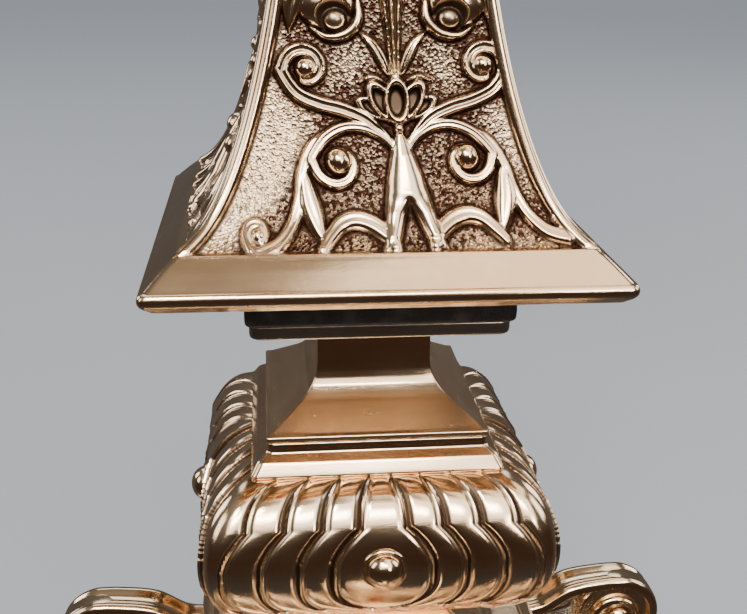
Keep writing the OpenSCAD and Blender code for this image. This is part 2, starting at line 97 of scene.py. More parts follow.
class Finish:
    """A node tree, and the kinds of node that surfaces here are made from. Scales are features a metre."""

    def __init__(self, name, tree=None):
        if tree is None:
            self.material = bpy.data.materials.new(name)
            self.material.use_nodes = True
            tree = self.material.node_tree
        self.nodes, self.links = tree.nodes, tree.links
        self.shader = self.nodes.get("Principled BSDF")
        self.places = self.nodes.new("ShaderNodeTexCoord").outputs

    def put(self, value, place):
        """value is a number, a colour or another node's output."""
        if isinstance(value, bpy.types.NodeSocket):
            self.links.new(value, place)
        else:
            place.default_value = (*value, 1) if isinstance(value, tuple) and len(value) == 3 else value

    def made(self, kind, **inputs):
        node = self.nodes.new("ShaderNode" + kind)
        for name, value in inputs.items():
            self.put(value, node.inputs[name.replace("_", " ")])
        return node

    def shade(self, **inputs):
        for name, value in inputs.items():
            self.put(value, self.shader.inputs[name.replace("_", " ")])

    def mix(self, factor, first, second):
        node = self.made("Mix", Factor=factor)
        node.data_type = "RGBA"
        for value, name in ((first, "A"), (second, "B")):
            self.put(value, [s for s in node.inputs if s.name == name and s.type == "RGBA"][0])
        return [s for s in node.outputs if s.type == "RGBA"][0]

    def maths(self, operation, *values, clamp=False):
        node = self.made("Math")
        node.operation = operation
        node.use_clamp = clamp
        for value, place in zip(values, node.inputs):
            self.put(value, place)
        return node.outputs[0]

    def noise(self, scale, detail=4.0, roughness=0.55, squeeze=None):
        """squeeze packs the features closer along Z."""
        coords = self.places["Object"]
        if squeeze:
            mapping = self.made("Mapping", Vector=coords)
            mapping.inputs["Scale"].default_value = (1.0, 1.0, squeeze)
            coords = mapping.outputs[0]
        node = self.made("TexNoise", Scale=scale, Detail=detail, Roughness=roughness, Vector=coords)
        return node.outputs["Fac"]

    def cells(self, scale):
        return self.made("TexVoronoi", Scale=scale, Vector=self.places["Object"]).outputs

    def ramp(self, value, low_at, high_at):
        """0 below low_at, 1 above high_at."""
        node = self.made("MapRange", Value=value, From_Min=low_at, From_Max=high_at)
        node.interpolation_type = "SMOOTHSTEP"
        return node.outputs[0]

    def attribute(self, name):
        node = self.made("Attribute")
        node.attribute_name = name
        return node.outputs["Fac"]

    def bump(self, layers):
        """layers is a list of (height, distance in metres, strength), the first one lowest."""
        normal = None
        for height, distance, strength in layers:
            node = self.made("Bump", Distance=distance, Height=height, Strength=strength)
            if normal:
                self.put(normal, node.inputs["Normal"])
            normal = node.outputs[0]
        self.shade(Normal=normal)


def gilt(name, light, deep, tarnish_shade_colour, polish=0.14, tarnish_shade_amount=0.8, occlusion=0.004, relief=False, metallic=1.0):
    """Gilt brass: light and deep gold in soft clouds, brown tarnish in the hollows together with painted
    shade from ambient occlusion, fine wiping marks.
    """
    m = Finish(name)
    colour = m.mix(m.ramp(m.noise(38, 5.0), 0.36, 0.66), light, deep)
    # Painted shade: the ambient occlusion darkens hollows and corners towards the brown tarnish colour, on
    # top of real tarnish.
    occluded = m.made("AmbientOcclusion", Distance=occlusion)
    occluded.samples = 6
    occluded.only_local = True
    shade = m.maths("SUBTRACT", 1.0, occluded.outputs["AO"])
    tarnish_and_shade = m.maths("MULTIPLY", shade, m.maths("ADD", m.noise(420, 6.0, 0.65), 0.55))
    if relief:
        tarnish_and_shade = m.maths("ADD", tarnish_and_shade, m.attribute("cavity"))
    # tarnish_shade_amount sets how far the painted shade and the tarnish go.
    tarnish_and_shade = m.maths("MULTIPLY", m.ramp(tarnish_and_shade, 0.22, 0.85), tarnish_shade_amount, clamp=True)
    colour = m.mix(tarnish_and_shade, colour, tarnish_shade_colour)
    rough = m.maths("MULTIPLY_ADD", m.noise(90, 8.0, 0.7, squeeze=7.0), 0.16, polish - 0.07)
    rough = m.maths("ADD", rough, m.maths("MULTIPLY", tarnish_and_shade, 0.34))
    rough = m.maths("ADD", rough, m.maths("MULTIPLY", m.attribute("satin"), 0.10))
    layers = [(m.noise(60, 3.0), 0.0012, 0.05), (m.noise(900, 6.0, 0.7, squeeze=5.0), 0.00006, 0.25)]
    if relief:
        # The punched ground: small pits, tarnish in some of them, and painted shade on the ground near the
        # ornament.
        ground = m.attribute("ground")
        cells = m.cells(2100)
        layers.append((cells["Distance"], 0.00024, m.maths("MULTIPLY", ground, 0.7)))
        layers.append((m.noise(1500, 3.0, 0.7), 0.0002, m.maths("MULTIPLY", ground, 0.4)))
        rough = m.maths("ADD", rough, m.maths("MULTIPLY", ground, 0.10))
        specks = m.maths("MULTIPLY", m.ramp(cells["Color"], 0.62, 0.30), ground)
        # Painted shade: the ground darkens towards the tarnish colour near the ornament.
        near_ornament_shade = m.maths("MULTIPLY", m.attribute("ornament_shade"), 0.8)
        dark = m.maths("ADD", m.maths("MULTIPLY", specks, 0.45), near_ornament_shade, clamp=True)
        colour = m.mix(dark, colour, tarnish_shade_colour)
    m.shade(Metallic=metallic, Base_Color=colour, Roughness=rough)
    m.bump(layers)
    return m.material


def steel():
    m = Finish("steel")
    tone = m.ramp(m.noise(160, 6.0), 0.3, 0.75)
    turned = m.noise(300, 4.0, squeeze=9.0)
    m.shade(Metallic=1.0, Base_Color=m.mix(tone, (0.60, 0.59, 0.58), (0.40, 0.38, 0.36)),
            Roughness=m.ramp(turned, -0.6, 2.0))
    m.bump([(turned, 0.0001, 0.3)])
    return m.material


def leather():
    m = Finish("black_leather")
    worn = m.ramp(m.noise(240, 5.0), 0.45, 0.75)
    m.shade(Base_Color=m.mix(worn, (0.012, 0.010, 0.010), (0.045, 0.034, 0.028)),
            Roughness=m.maths("MULTIPLY_ADD", worn, 0.25, 0.5))
    m.bump([(m.cells(1500)["Distance"], 0.0002, 0.5)])
    return m.material


def glass():
    m = Finish("clear_glass")
    smear = m.ramp(m.noise(45, 6.0), 0.55, 0.8)
    m.shade(Base_Color=(0.93, 0.97, 0.98), Transmission_Weight=1.0, IOR=1.45,
            Roughness=m.maths("MULTIPLY", smear, 0.06))
    return m.material


MATERIALS = {
    "gilt": gilt("gilt", (0.92, 0.71, 0.48), (0.81, 0.58, 0.37), (0.13, 0.06, 0.03)),
    "bright_gilt": gilt("bright_gilt", (0.96, 0.76, 0.52), (0.88, 0.65, 0.42), (0.18, 0.085, 0.04),
                        polish=0.10, tarnish_shade_amount=0.7),
    # The relief's tarnish colour is near black, so that its hollows and grooves carry painted shade besides
    # tarnish.
    "relief_gilt": gilt("relief_gilt", (0.93, 0.72, 0.50), (0.82, 0.58, 0.37), (0.032, 0.013, 0.008),
                        polish=0.13, tarnish_shade_amount=0.92, occlusion=0.003, relief=True),
    # The plates under the flare take a darker gilt: dark tarnish, with the flare's shade painted into their
    # colour.
    "dark_bronze": gilt("dark_bronze", (0.38, 0.33, 0.28), (0.28, 0.23, 0.19), (0.05, 0.032, 0.022),
                        polish=0.2, tarnish_shade_amount=0.6, metallic=0.93),
    "steel": steel(),
    "leather": leather(),
    "glass": glass(),
}


# ---- meshes ----

def add_piece(name, verts, faces, slot, body="stand", node=None, sharp=32, attributes=None):
    """Makes a piece from points in millimetres, rides it on a body and gives it its material."""
    mesh = bpy.data.meshes.new(name)
    mesh.from_pydata((np.asarray(verts, float) * MM).tolist(), [], faces)
    mesh.validate()
    mesh.shade_smooth()
    if sharp:
        mesh.set_sharp_from_angle(angle=radians(sharp))
    for key, values in (attributes or {}).items():
        layer = mesh.attributes.new(key, "FLOAT", "POINT")
        layer.data.foreach_set("value", np.asarray(values, np.float32))
    mesh.materials.append(MATERIALS[slot])
    piece = bpy.data.objects.new(name, mesh)
    bpy.context.scene.collection.objects.link(piece)
    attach(piece, body)
    if node:
        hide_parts(node)


def joined(parts):
    """Several (verts, faces) as one."""
    verts, faces, start = [], [], 0
    for v, f in parts:
        verts.append(np.asarray(v, float))
        faces += [[i + start for i in face] for face in f]
        start += len(v)
    return np.concatenate(verts), faces


def loops_to_faces(loops, count, closed_ends=True):
    """Quads between rings of points, each with count points, and a cap at each end."""
    faces = []
    for j in range(loops - 1):
        for i in range(count):
            k = (i + 1) % count
            faces.append([j * count + i, j * count + k, (j + 1) * count + k, (j + 1) * count + i])
    if closed_ends:
        faces.append(list(range(count))[::-1])
        faces.append([(loops - 1) * count + i for i in range(count)])
    return faces


def soften(points, radius=0.35, steps=3):
    """Rounds each inner corner of an open outline."""
    points = [np.array(p, float) for p in points]
    out = [points[0]]
    for before, here, after in zip(points, points[1:], points[2:]):
        a, b = before - here, after - here
        a = here + a * min(radius / max(np.linalg.norm(a), 1e-9), 0.45)
        b = here + b * min(radius / max(np.linalg.norm(b), 1e-9), 0.45)
        for i in range(steps + 1):
            t = i / steps
            out.append((1 - t) ** 2 * a + 2 * t * (1 - t) * here + t * t * b)
    out.append(points[-1])
    return out


def rounded_square(half, radius, per_corner):
    """The points of a square with rounded corners."""
    radius = min(radius, half * 0.95)
    points = []
    for quarter in range(4):
        turn = quarter * pi / 2
        cx, cy = half - radius, half - radius
        centre = (cx * cos(turn) - cy * sin(turn), cx * sin(turn) + cy * cos(turn))
        for i in range(per_corner + 1):
            a = turn + pi / 2 * i / per_corner
            points.append((centre[0] + radius * cos(a), centre[1] + radius * sin(a)))
    return points


def square_turned(profile, corner=0.5, per_corner=4):
    """A square-plan moulding. profile is a list of (half width, height), bottom to top."""
    verts = []
    for half, z in profile:
        verts += [(x, y, z) for x, y in rounded_square(half, corner, per_corner)]
    return verts, loops_to_faces(len(profile), 4 * (per_corner + 1))


def around(count):
    """The angles of equal steps round a circle."""
    return np.linspace(0, 2 * pi, count, endpoint=False)


def circle(radius, count, z):
    return [(radius * cos(a), radius * sin(a), z) for a in around(count)]


def round_turned(profile, segments=64):
    """A turned form about Z. profile is a list of (radius, height), bottom to top."""
    verts = [p for radius, z in profile for p in circle(radius, segments, z)]
    return verts, loops_to_faces(len(profile), segments)


def moulding(name, slot, node, half, z0, offsets, radius, steps=3, **plan):
    """A square-plan piece for a node. offsets are (out from half, up from z0), softened by radius."""
    profile = soften([(half + out, z0 + up) for out, up in offsets], radius, steps)
    add_piece(name, *square_turned(profile, **plan), slot, node=node)


def facing_front(verts):
    """Turns a form built about Z so that its axis runs towards the front, -Y, round the case's middle."""
    return [(x, -z, Z_LUNA + y) for x, y, z in verts]


def facing_back(verts):
    """The same towards the back."""
    return [(-x, z, Z_LUNA + y) for x, y, z in verts]


def ring_turned(outline, segments=128):
    """A ring about Z from a closed outline of (radius, height)."""
    count = len(outline)
    verts = [(r * cos(a), r * sin(a), z) for a in around(segments) for r, z in outline]
    faces = []
    for j in range(segments):
        for i in range(count):
            a, b = j * count, ((j + 1) % segments) * count
            k = (i + 1) % count
            faces.append([a + i, a + k, b + k, b + i])
    return verts, faces


def ball(centre, radius, squash=1.0, segments=14, rings=8):
    """A ball, squashed front to back."""
    verts = [(0, 0, -1)]
    for j in range(1, rings):
        a = pi * j / rings - pi / 2
        verts += circle(cos(a), segments, sin(a))
    verts.append((0, 0, 1))
    faces = [[0, 1 + (i + 1) % segments, 1 + i] for i in range(segments)]
    for j in range(rings - 2):
        for i in range(segments):
            k = (i + 1) % segments
            a = 1 + j * segments
            faces.append([a + i, a + k, a + segments + k, a + segments + i])
    last = len(verts) - 1
    start = last - segments
    faces += [[last, start + i, start + (i + 1) % segments] for i in range(segments)]
    verts = np.array(verts) * (radius, radius * squash, radius) + np.array(centre)
    return verts, faces


def add_four(name, verts, faces, slot, **more):
    """The same piece on each side of the stem."""
    for i, a in enumerate(around(4)):
        turned = np.asarray(verts) @ np.array([[cos(a), sin(a), 0], [-sin(a), cos(a), 0], [0, 0, 1]])
        add_piece(f"{name}_{i}", turned, faces, slot, **more)


# ---- curves for the relief ----

def smooth_path(points, spacing=0.12):
    """A Catmull-Rom curve through the points, at even spacing."""
    p = np.array(points, float)
    p = np.vstack([2 * p[0] - p[1], p, 2 * p[-1] - p[-2]])
    out = []
    for i in range(1, len(p) - 2):
        t = np.linspace(0, 1, 24, endpoint=False)[:, None]
        a, b, c, d = p[i - 1], p[i], p[i + 1], p[i + 2]
        out.append(0.5 * (2 * b + (c - a) * t + (2 * a - 5 * b + 4 * c - d) * t ** 2
                          + (3 * b - a - 3 * c + d) * t ** 3))
    out = np.vstack(out + [p[-2][None]])
    return even(out, spacing)


def even(path, spacing):
    """The same path with its points at even spacing."""
    along = np.concatenate([[0], np.cumsum(np.linalg.norm(np.diff(path, axis=0), axis=1))])
    steps = np.linspace(0, along[-1], max(int(along[-1] / spacing), 2))
    return np.stack([np.interp(steps, along, path[:, k]) for k in range(path.shape[1])], 1)


def scroll(points, centre, turns, end_radius):
    """A strand through the points that then winds in round centre. Positive turns go anticlockwise."""
    points = [np.array(p, float) for p in points]
    centre = np.array(centre, float)
    arm = points[-1] - centre
    radius, angle = np.linalg.norm(arm), atan2(arm[1], arm[0])
    t = np.linspace(0, 1, 90)[1:]
    r = radius + (end_radius - radius) * t ** 0.85
    a = angle + turns * 2 * pi * t
    tail = centre + np.stack([r * np.cos(a), r * np.sin(a)], 1)
    lead = smooth_path(points + [tail[3]])
    return even(np.vstack([lead[:-1], tail[3:]]), 0.12)


class Relief:
    """Heights in millimetres over a grid of flat places x, h. x is measured from the middle line."""

    def __init__(self, x, h):
        self.x, self.h = np.abs(x), h
        self.height = np.zeros_like(x)
        self.solid = np.zeros_like(x)
        # Painted shade: marks the floors of hollows and cups, which the relief material darkens to its
        # near-black tarnish colour.
        self.tarnish_and_shade = np.zeros_like(x)

    def raise_to(self, where, height):
        self.height[where] = np.maximum(self.height[where], height)
        self.solid[where] = np.maximum(self.solid[where], np.clip(height / 0.25, 0, 1))

    def along(self, path, reach):
        """The places near a path, their distances from it and their shares of the way along it."""
        lo, hi = path.min(0) - reach, path.max(0) + reach
        where = (self.x > lo[0]) & (self.x < hi[0]) & (self.h > lo[1]) & (self.h < hi[1])
        spots = np.stack([self.x[where], self.h[where]], 1)
        nearest, share = np.full(len(spots), 1e9), np.zeros(len(spots))
        for start in range(0, len(path), 64):
            d = np.linalg.norm(spots[:, None] - path[None, start:start + 64], axis=2)
            k = d.argmin(1)
            best = d[np.arange(len(d)), k]
            closer = best < nearest
            nearest[closer] = best[closer]
            share[closer] = (start + k[closer]) / (len(path) - 1)
        return where, nearest, share

    def strand(self, path, width, height, groove=0.0, ends=(0.6, 0.6)):
        """A raised strand. groove hollows its middle; ends are the shares of the width at both ends."""
        where, nearest, share = self.along(path, width * 1.3)
        taper = ends[0] + (1 - ends[0]) * np.sin(np.clip(share / 0.35, 0, 1) * pi / 2)
        taper *= ends[1] + (1 - ends[1]) * np.sin(np.clip((1 - share) / 0.6, 0, 1) * pi / 2)
        e = np.clip(nearest / (width * np.maximum(taper, 1e-3)), 0, 1)
        dome = np.sqrt(1 - e ** 2) * (1 - groove * np.exp(-(e / 0.42) ** 2))
        self.raise_to(where, height * dome * (0.45 + 0.55 * np.minimum(taper, 1)))

    def scroll(self, points, centre, turns, end_radius, *shape, **more):
        self.strand(scroll(points, centre, turns, end_radius), *shape, **more)

    def leaf(self, points, width, height, vein=0.25, fullest=0.45):
        """A leaf from its root to its point, widest at fullest."""
        where, nearest, share = self.along(smooth_path(points), width * 1.2)
        bend = np.log(0.5) / np.log(fullest)
        swell = np.sin(np.clip(share, 0, 1) ** bend * pi) ** 0.8
        e = np.clip(nearest / (width * np.maximum(swell, 0.04)), 0, 1)
        dome = np.sqrt(1 - e ** 2) * (1 - vein * np.exp(-(e / 0.22) ** 2)) * (0.35 + 0.65 * swell)
        self.raise_to(where, height * dome)

    def disc(self, centre, radius, squash):
        d = np.hypot(self.x - centre[0], (self.h - centre[1]) / squash) / radius
        where = d < 1
        return where, d[where]

    def boss(self, centre, radius, height, squash=1.0):
        where, d = self.disc(centre, radius, squash)
        self.raise_to(where, height * np.sqrt(1 - d ** 2))

    def hollow(self, centre, radius, depth, squash=1.0):
        where, d = self.disc(centre, radius, squash)
        self.height[where] -= depth * np.sqrt(1 - d ** 2)
        # Painted shade on the hollow's floor.
        self.tarnish_and_shade[where] = np.clip((1 - d) / 0.3, 0, 1)

    def cup(self, centre, size, height, tilt=0.0, depth=0.7):
        """An oval with a raised rim and a hollow inside."""
        a = radians(tilt)
        dx, dh = self.x - centre[0], self.h - centre[1]
        d = np.hypot((dx * cos(a) + dh * sin(a)) / size[0], (-dx * sin(a) + dh * cos(a)) / size[1])
        where = d < 1
        e = d[where]
        within = e < 0.78
        rim = np.sqrt(np.clip(1 - ((e - 0.78) / 0.24) ** 2, 0, 1))
        floor = np.where(within, 1 - depth * np.sqrt(np.clip(1 - (e / 0.8) ** 2, 0, 1)), 0)
        around_it = np.where(within, 0, self.height[where])
        self.height[where] = np.maximum(height * np.maximum(rim, floor), around_it)
        self.solid[where] = 1
        # Painted shade inside the cup.
        self.tarnish_and_shade[where] = np.clip((0.85 - e) / 0.2, 0, 1)


def blurred(field, times):
    """A grid averaged with its neighbours, so many times."""
    for _ in range(times):
        for axis in (0, 1):
            padded = np.concatenate([field.take([0], axis), field, field.take([-1], axis)], axis)
            n = field.shape[axis]
            field = (padded.take(range(0, n), axis) + padded.take(range(1, n + 1), axis)
                     + padded.take(range(2, n + 2), axis)) / 3
    return field


def shaft_half(h):
    """Half width of the flared shaft at a height above its panels' bottom edge, as in the solids."""
    return FLARE_HALF - 6.1 - 32.4 + 29.4 / (1 + 2.45 * h / FLARE_H) + 3 * np.exp(-h / 3)


def calyx(r):
    """A bell in the middle of the bottom that widens downwards and parts into two legs."""
    half = np.interp(r.h, [0.3, 2, 4.5, 7.5, 10.5, 14, 16.8, 18.4], [5.6, 5.2, 4.7, 4, 3.3, 2.3, 1.4, 0.4])
    across = np.clip(r.x / half, 0, 1)
    gap = np.interp(r.h, [0.3, 6], [0.50, 0.05])
    bell = np.sqrt(1 - across ** 2)
    leg = np.sqrt(np.clip(1 - ((across - (1 + gap) / 2) / ((1 - gap) / 2)) ** 2, 0, 1))
    whole = np.clip((r.h - 4.6) / 3, 0, 1)
    whole = whole * whole * (3 - 2 * whole)
    crown = np.interp(r.h, [0.3, 1.6, 8, 14, 18.4], [0.7, 1.7, 2.3, 1.9, 0.7])
    where = (r.h > 0.3) & (r.h < 18.4) & (across < 1)
    r.raise_to(where, (crown * (whole * bell + (1 - whole) * leg))[where])


def shaft_ornament(r):
    # Stalk in the middle, fluted, from the fan to the top.
    stalk = np.clip(r.x / np.interp(r.h, [27, 40, 62, FLARE_H], [0.8, 2, 1.6, 1]), 0, 1)
    where = (stalk < 1) & (r.h > 26.5) & (r.h < FLARE_H - 2)
    flutes = 0.62 + 0.38 * np.cos(stalk * 2 * pi * 1.5)
    r.raise_to(where, (1.5 * np.sqrt(1 - stalk ** 2) * flutes)[where])
    # Lower scroll with its ball, and the outer stem that ends in the corner volute.
    r.scroll([(1.3, 15.4), (3.2, 17.4), (6.2, 18.9), (9.6, 19), (13, 17.4), (15.6, 14.4)], (11.2, 13.4),
             -0.82, 1.5, 1.05, 1.5, groove=0.25, ends=(0.55, 0.85))
    r.boss((11.1, 13.7), 2.3, 2.5)
    r.scroll([(11.4, 18.7), (15.2, 16.4), (17.4, 12.4), (18.5, 8.2), (20.2, 4.6), (23, 1.9), (26.4, 0.9)],
             (26.4, 3.3), 0.95, 0.9, 1.15, 1.35, groove=0.25, ends=(0.5, 0.7))
    r.boss((26.4, 3.2), 1.15, 1.5)
    r.leaf([(17.7, 14.6), (17.3, 10.6), (16.9, 6.6), (15.4, 1.6)], 2, 1.7, vein=0.12, fullest=0.6)
    # Arches along the bottom.
    arch = [(3.4, 1), (4.8, 2.6), (7.2, 4.1), (9.8, 4.7), (12.2, 4.1), (14.2, 2.5), (15.8, 0.9)]
    r.strand(smooth_path(arch), 1.5, 1.7, groove=0.2, ends=(0.8, 0.6))
    # Upper scroll round a hollow eye.
    r.scroll([(0.7, 14.6), (2.6, 17.4), (5.6, 20.2), (9.4, 21.9), (13.4, 23), (17, 24.8), (19.2, 28)],
             (15.2, 28.6), 0.8, 1.7, 1.3, 1.6, groove=0.5, ends=(0.45, 0.8))
    r.boss((15.3, 28.7), 1.8, 2)
    # Fan of hollow lobes in the middle, with a pearl under it and a knot above.
    r.cup((3.9, 21.9), (1.5, 3.6), 1.1, tilt=-62, depth=1)
    r.cup((2.4, 22.9), (2, 4.2), 1.5, tilt=-34, depth=1.1)
    r.cup((0, 23), (2.3, 4.2), 1.9, depth=1.15)
    r.boss((0, 18.5), 0.95, 1.6)
    r.boss((0, 27), 1, 1.7)
    calyx(r)
    # Tendrils at the root of the stalk.
    r.leaf([(0.9, 27), (2.1, 29.8), (3.6, 32.4), (5.8, 34.4)], 0.95, 1.3, vein=0.4)
    r.leaf([(1.6, 26), (3, 26.8), (4.6, 27), (6.6, 26.2)], 0.5, 0.9, vein=0)
    # Curled acanthus with deep eyes.
    r.leaf([(8, 44.4), (12.6, 43.6), (16.2, 40.4), (17.6, 34.6)], 2.4, 2.2, vein=0.25)
    r.leaf([(1.6, 42.6), (4.8, 44.4), (8.6, 44.4), (12.6, 42.4)], 2.1, 2, vein=0.3)
    r.boss((11.2, 39), 4.9, 2.6, squash=0.84)
    r.hollow((10, 37), 3.1, 2, squash=0.8)
    r.boss((9.8, 36.4), 2.1, 1.9, squash=0.9)
    lid = [(5.7, 39.6), (5.9, 36.2), (8, 34), (11.2, 33.6), (14, 35.2)]
    r.strand(smooth_path(lid), 0.95, 2, groove=0.1, ends=(0.4, 0.3))
    # Above: a second pair of scrolls, a spray of leaves, and husks that lessen towards the top.
    r.scroll([(1.2, 43), (3.6, 46.4), (7.2, 49.4), (10.2, 52), (11.2, 55.4)], (8, 55.6), 0.95, 1.2, 1.1, 1.4,
             groove=0.4, ends=(0.5, 0.6))
    r.boss((8, 55.6), 1.2, 1.5)
    r.leaf([(8.4, 50.4), (11.2, 50.4), (12.8, 48), (13.2, 45)], 1.3, 1.4)
    r.leaf([(1.2, 57), (2.8, 61), (5.4, 64.6), (8.6, 66.6)], 1.8, 1.7)
    r.leaf([(1.2, 61), (2.2, 65.4), (3.6, 69.4), (5.8, 73)], 1.5, 1.5)
    for k in range(4):
        at, size = 76.0 + 9.4 * k, 1 - 0.14 * k
        r.leaf([(0.6, at), (2.6 * size, at - 2.6), (4.2 * size, at - 5.6), (4.8 * size, at - 9)],
               1.35 * size, 1.4)
        r.leaf([(0.4, at), (1.1 * size, at + 2.2), (2.6 * size, at + 3.8), (4.4 * size, at + 4.4)],
               0.9 * size, 1.1)
        r.boss((0, at + 0.4), 1.7 * size, 2)


def relief_panel(half_at, height, span, z0, ornament, columns, rows, border=2.1, sink=0.75, lean=0.0):
    """Part of one front panel, over span of its height: the slope of the solid, a sunk ground with its
    ornament, and a raised border on the arris. lean sets the ornament off the middle line at the bottom."""
    fine = np.linspace(0, height, 2000)
    slope = np.gradient(half_at(fine), fine)
    along = np.concatenate([[0], np.cumsum(np.hypot(1, slope)[1:] * np.diff(fine))])
    start, end = np.interp(span, fine, along)
    h = np.interp(np.linspace(start, end, rows), along, fine)
    half = half_at(h)
    tilt = np.interp(h, fine, slope)
    x = np.linspace(-1, 1, columns)[None, :] * half[:, None]
    hh = np.repeat(h[:, None], columns, 1)
    settle = np.clip(1 - hh / 62, 0, 1)
    r = Relief(x - lean * (settle + 0.45 * np.clip(1 - hh / 21, 0, 1)), hh - 0.01 * lean * settle * x)
    ornament(r)
    height_field = blurred(r.height, 1)
    from_edge = half[:, None] - np.abs(x)
    inside = np.clip((from_edge - border) / 0.5, 0, 1)
    rim = 0.42 * np.sin(np.clip(from_edge / border, 0, 1) * pi) ** 0.7
    wall = 0.5 - 0.5 * np.cos(inside * pi)
    out = rim * (1 - wall) + wall * (height_field - sink)
    out *= np.clip(from_edge / 0.25, 0, 1)
    ends = np.clip(np.minimum(hh / 0.5, (height - hh) / 1.2), 0, 1)
    out *= ends
    y = -(half[:, None] + out / np.hypot(1, tilt)[:, None])
    z = z0 + hh - tilt[:, None] * out / np.hypot(1, tilt)[:, None]
    verts = np.stack([x, y, z], 2).reshape(-1, 3)
    # Painted shade: grooves and the floors of hollows darken, through the cavity mark, to the near-black
    # tarnish colour.
    cavity = np.clip((blurred(out, 11) - out) / 0.34 + blurred(r.tarnish_and_shade, 2) * 0.8, 0, 1)
    ground = np.clip(1 - r.solid * 1.6, 0, 1) * wall * ends
    # Painted shade: how much the ornament nearby darkens the ground.
    ornament_shade = np.clip(blurred(r.solid[::4, ::4], 50) * 3.2 - 0.5, 0, 1)
    ornament_shade = np.repeat(np.repeat(ornament_shade, 4, 0), 4, 1)[:rows, :columns]
    marks = {"cavity": cavity, "ground": ground, "ornament_shade": blurred(ornament_shade, 3) * ground}
    return verts, {key: field.reshape(-1) for key, field in marks.items()}


def add_four_sides(name, verts, marks, rows, columns, node):
    """Closes a front relief grid and places it on all four sides."""
    points, faces = with_back(verts, rows, columns)
    spare = np.zeros(len(points) - len(verts))
    marks = {key: np.concatenate([values, spare]) for key, values in marks.items()}
    add_four(name, points, faces, "relief_gilt", node=node, attributes=marks)


def grid_faces(rows, columns):
    """The quads of a grid of points."""
    index = np.arange(rows * columns).reshape(rows, columns)
    quads = np.stack([index[:-1, :-1], index[:-1, 1:], index[1:, 1:], index[1:, :-1]], -1)
    return quads.reshape(-1, 4).tolist()


def with_back(verts, rows, columns, depth=2.0):
    """Closes a relief grid with a coarse back, depth behind it."""
    edge = (list(range(columns)) + [j * columns + columns - 1 for j in range(1, rows)]
            + [(rows - 1) * columns + i for i in range(columns - 2, -1, -1)]
            + [j * columns for j in range(rows - 2, 0, -1)])
    rim = verts[edge].copy()
    rim[:, 0] *= 1 - depth / np.maximum(np.abs(rim[:, 1]), 1)
    rim[:, 1] += depth
    start, count = len(verts), len(edge)
    faces = grid_faces(rows, columns)
    faces += [[edge[i], start + i, start + (i + 1) % count, edge[(i + 1) % count]] for i in range(count)]
    # Rungs from side to side across the back.
    right = [start + columns - 1 + j for j in range(rows)]
    left = [start + (count - j) % count for j in range(rows)]
    top = start + 2 * columns + rows - 3
    faces.append([start + i for i in range(columns)] + [right[1], left[1]])
    faces += [[left[j], right[j], right[j + 1], left[j + 1]] for j in range(1, rows - 2)]
    faces.append([top - i for i in range(columns)] + [right[rows - 2], left[rows - 2]])
    return np.vstack([verts, rim]), faces


# ---- foot ----

FOOT_PEARLS = 54


def build_foot():
    moulding("foot_moulding", "gilt", "base_moulding", FOOT_HALF, Z_BASE,
             [(-9, 0), (-2, 0), (-0.7, 0.4), (0, 1.9), (-0.6, 3.1), (-2.2, 4), (-3.7, 4.1), (-4, 4.9),
              (-4.6, 5.2), (-6, 7.2), (-8.6, 9), (-11.6, 10), (-12.4, 10.6), (-12.4, 11.9), (-13.2, 12.5),
              (-14, 14), (-22, 14)], 0.5, corner=2.2, per_corner=6)
    beads = []
    along = FOOT_HALF - 12.4
    for side in range(4):
        a = side * pi / 2
        for i in range(FOOT_PEARLS):
            x, y = -along + 2 * along * (i + 0.5) / FOOT_PEARLS, -along - 0.1
            beads.append(ball((x * cos(a) - y * sin(a), x * sin(a) + y * cos(a), Z_BASE + 11.2),
                              1.15, segments=10, rings=6))
    add_piece("foot_pearls", *joined(beads), "bright_gilt")


def riser_half(h):
    """Half width of the foot's riser at a height above its lower edge, as in the solids."""
    top = CAP_HALF - CAP_NOSE
    return top + (FOOT_HALF - 16 - top) * (1 - h / (Z_CAP - Z_RISER)) ** 2.6


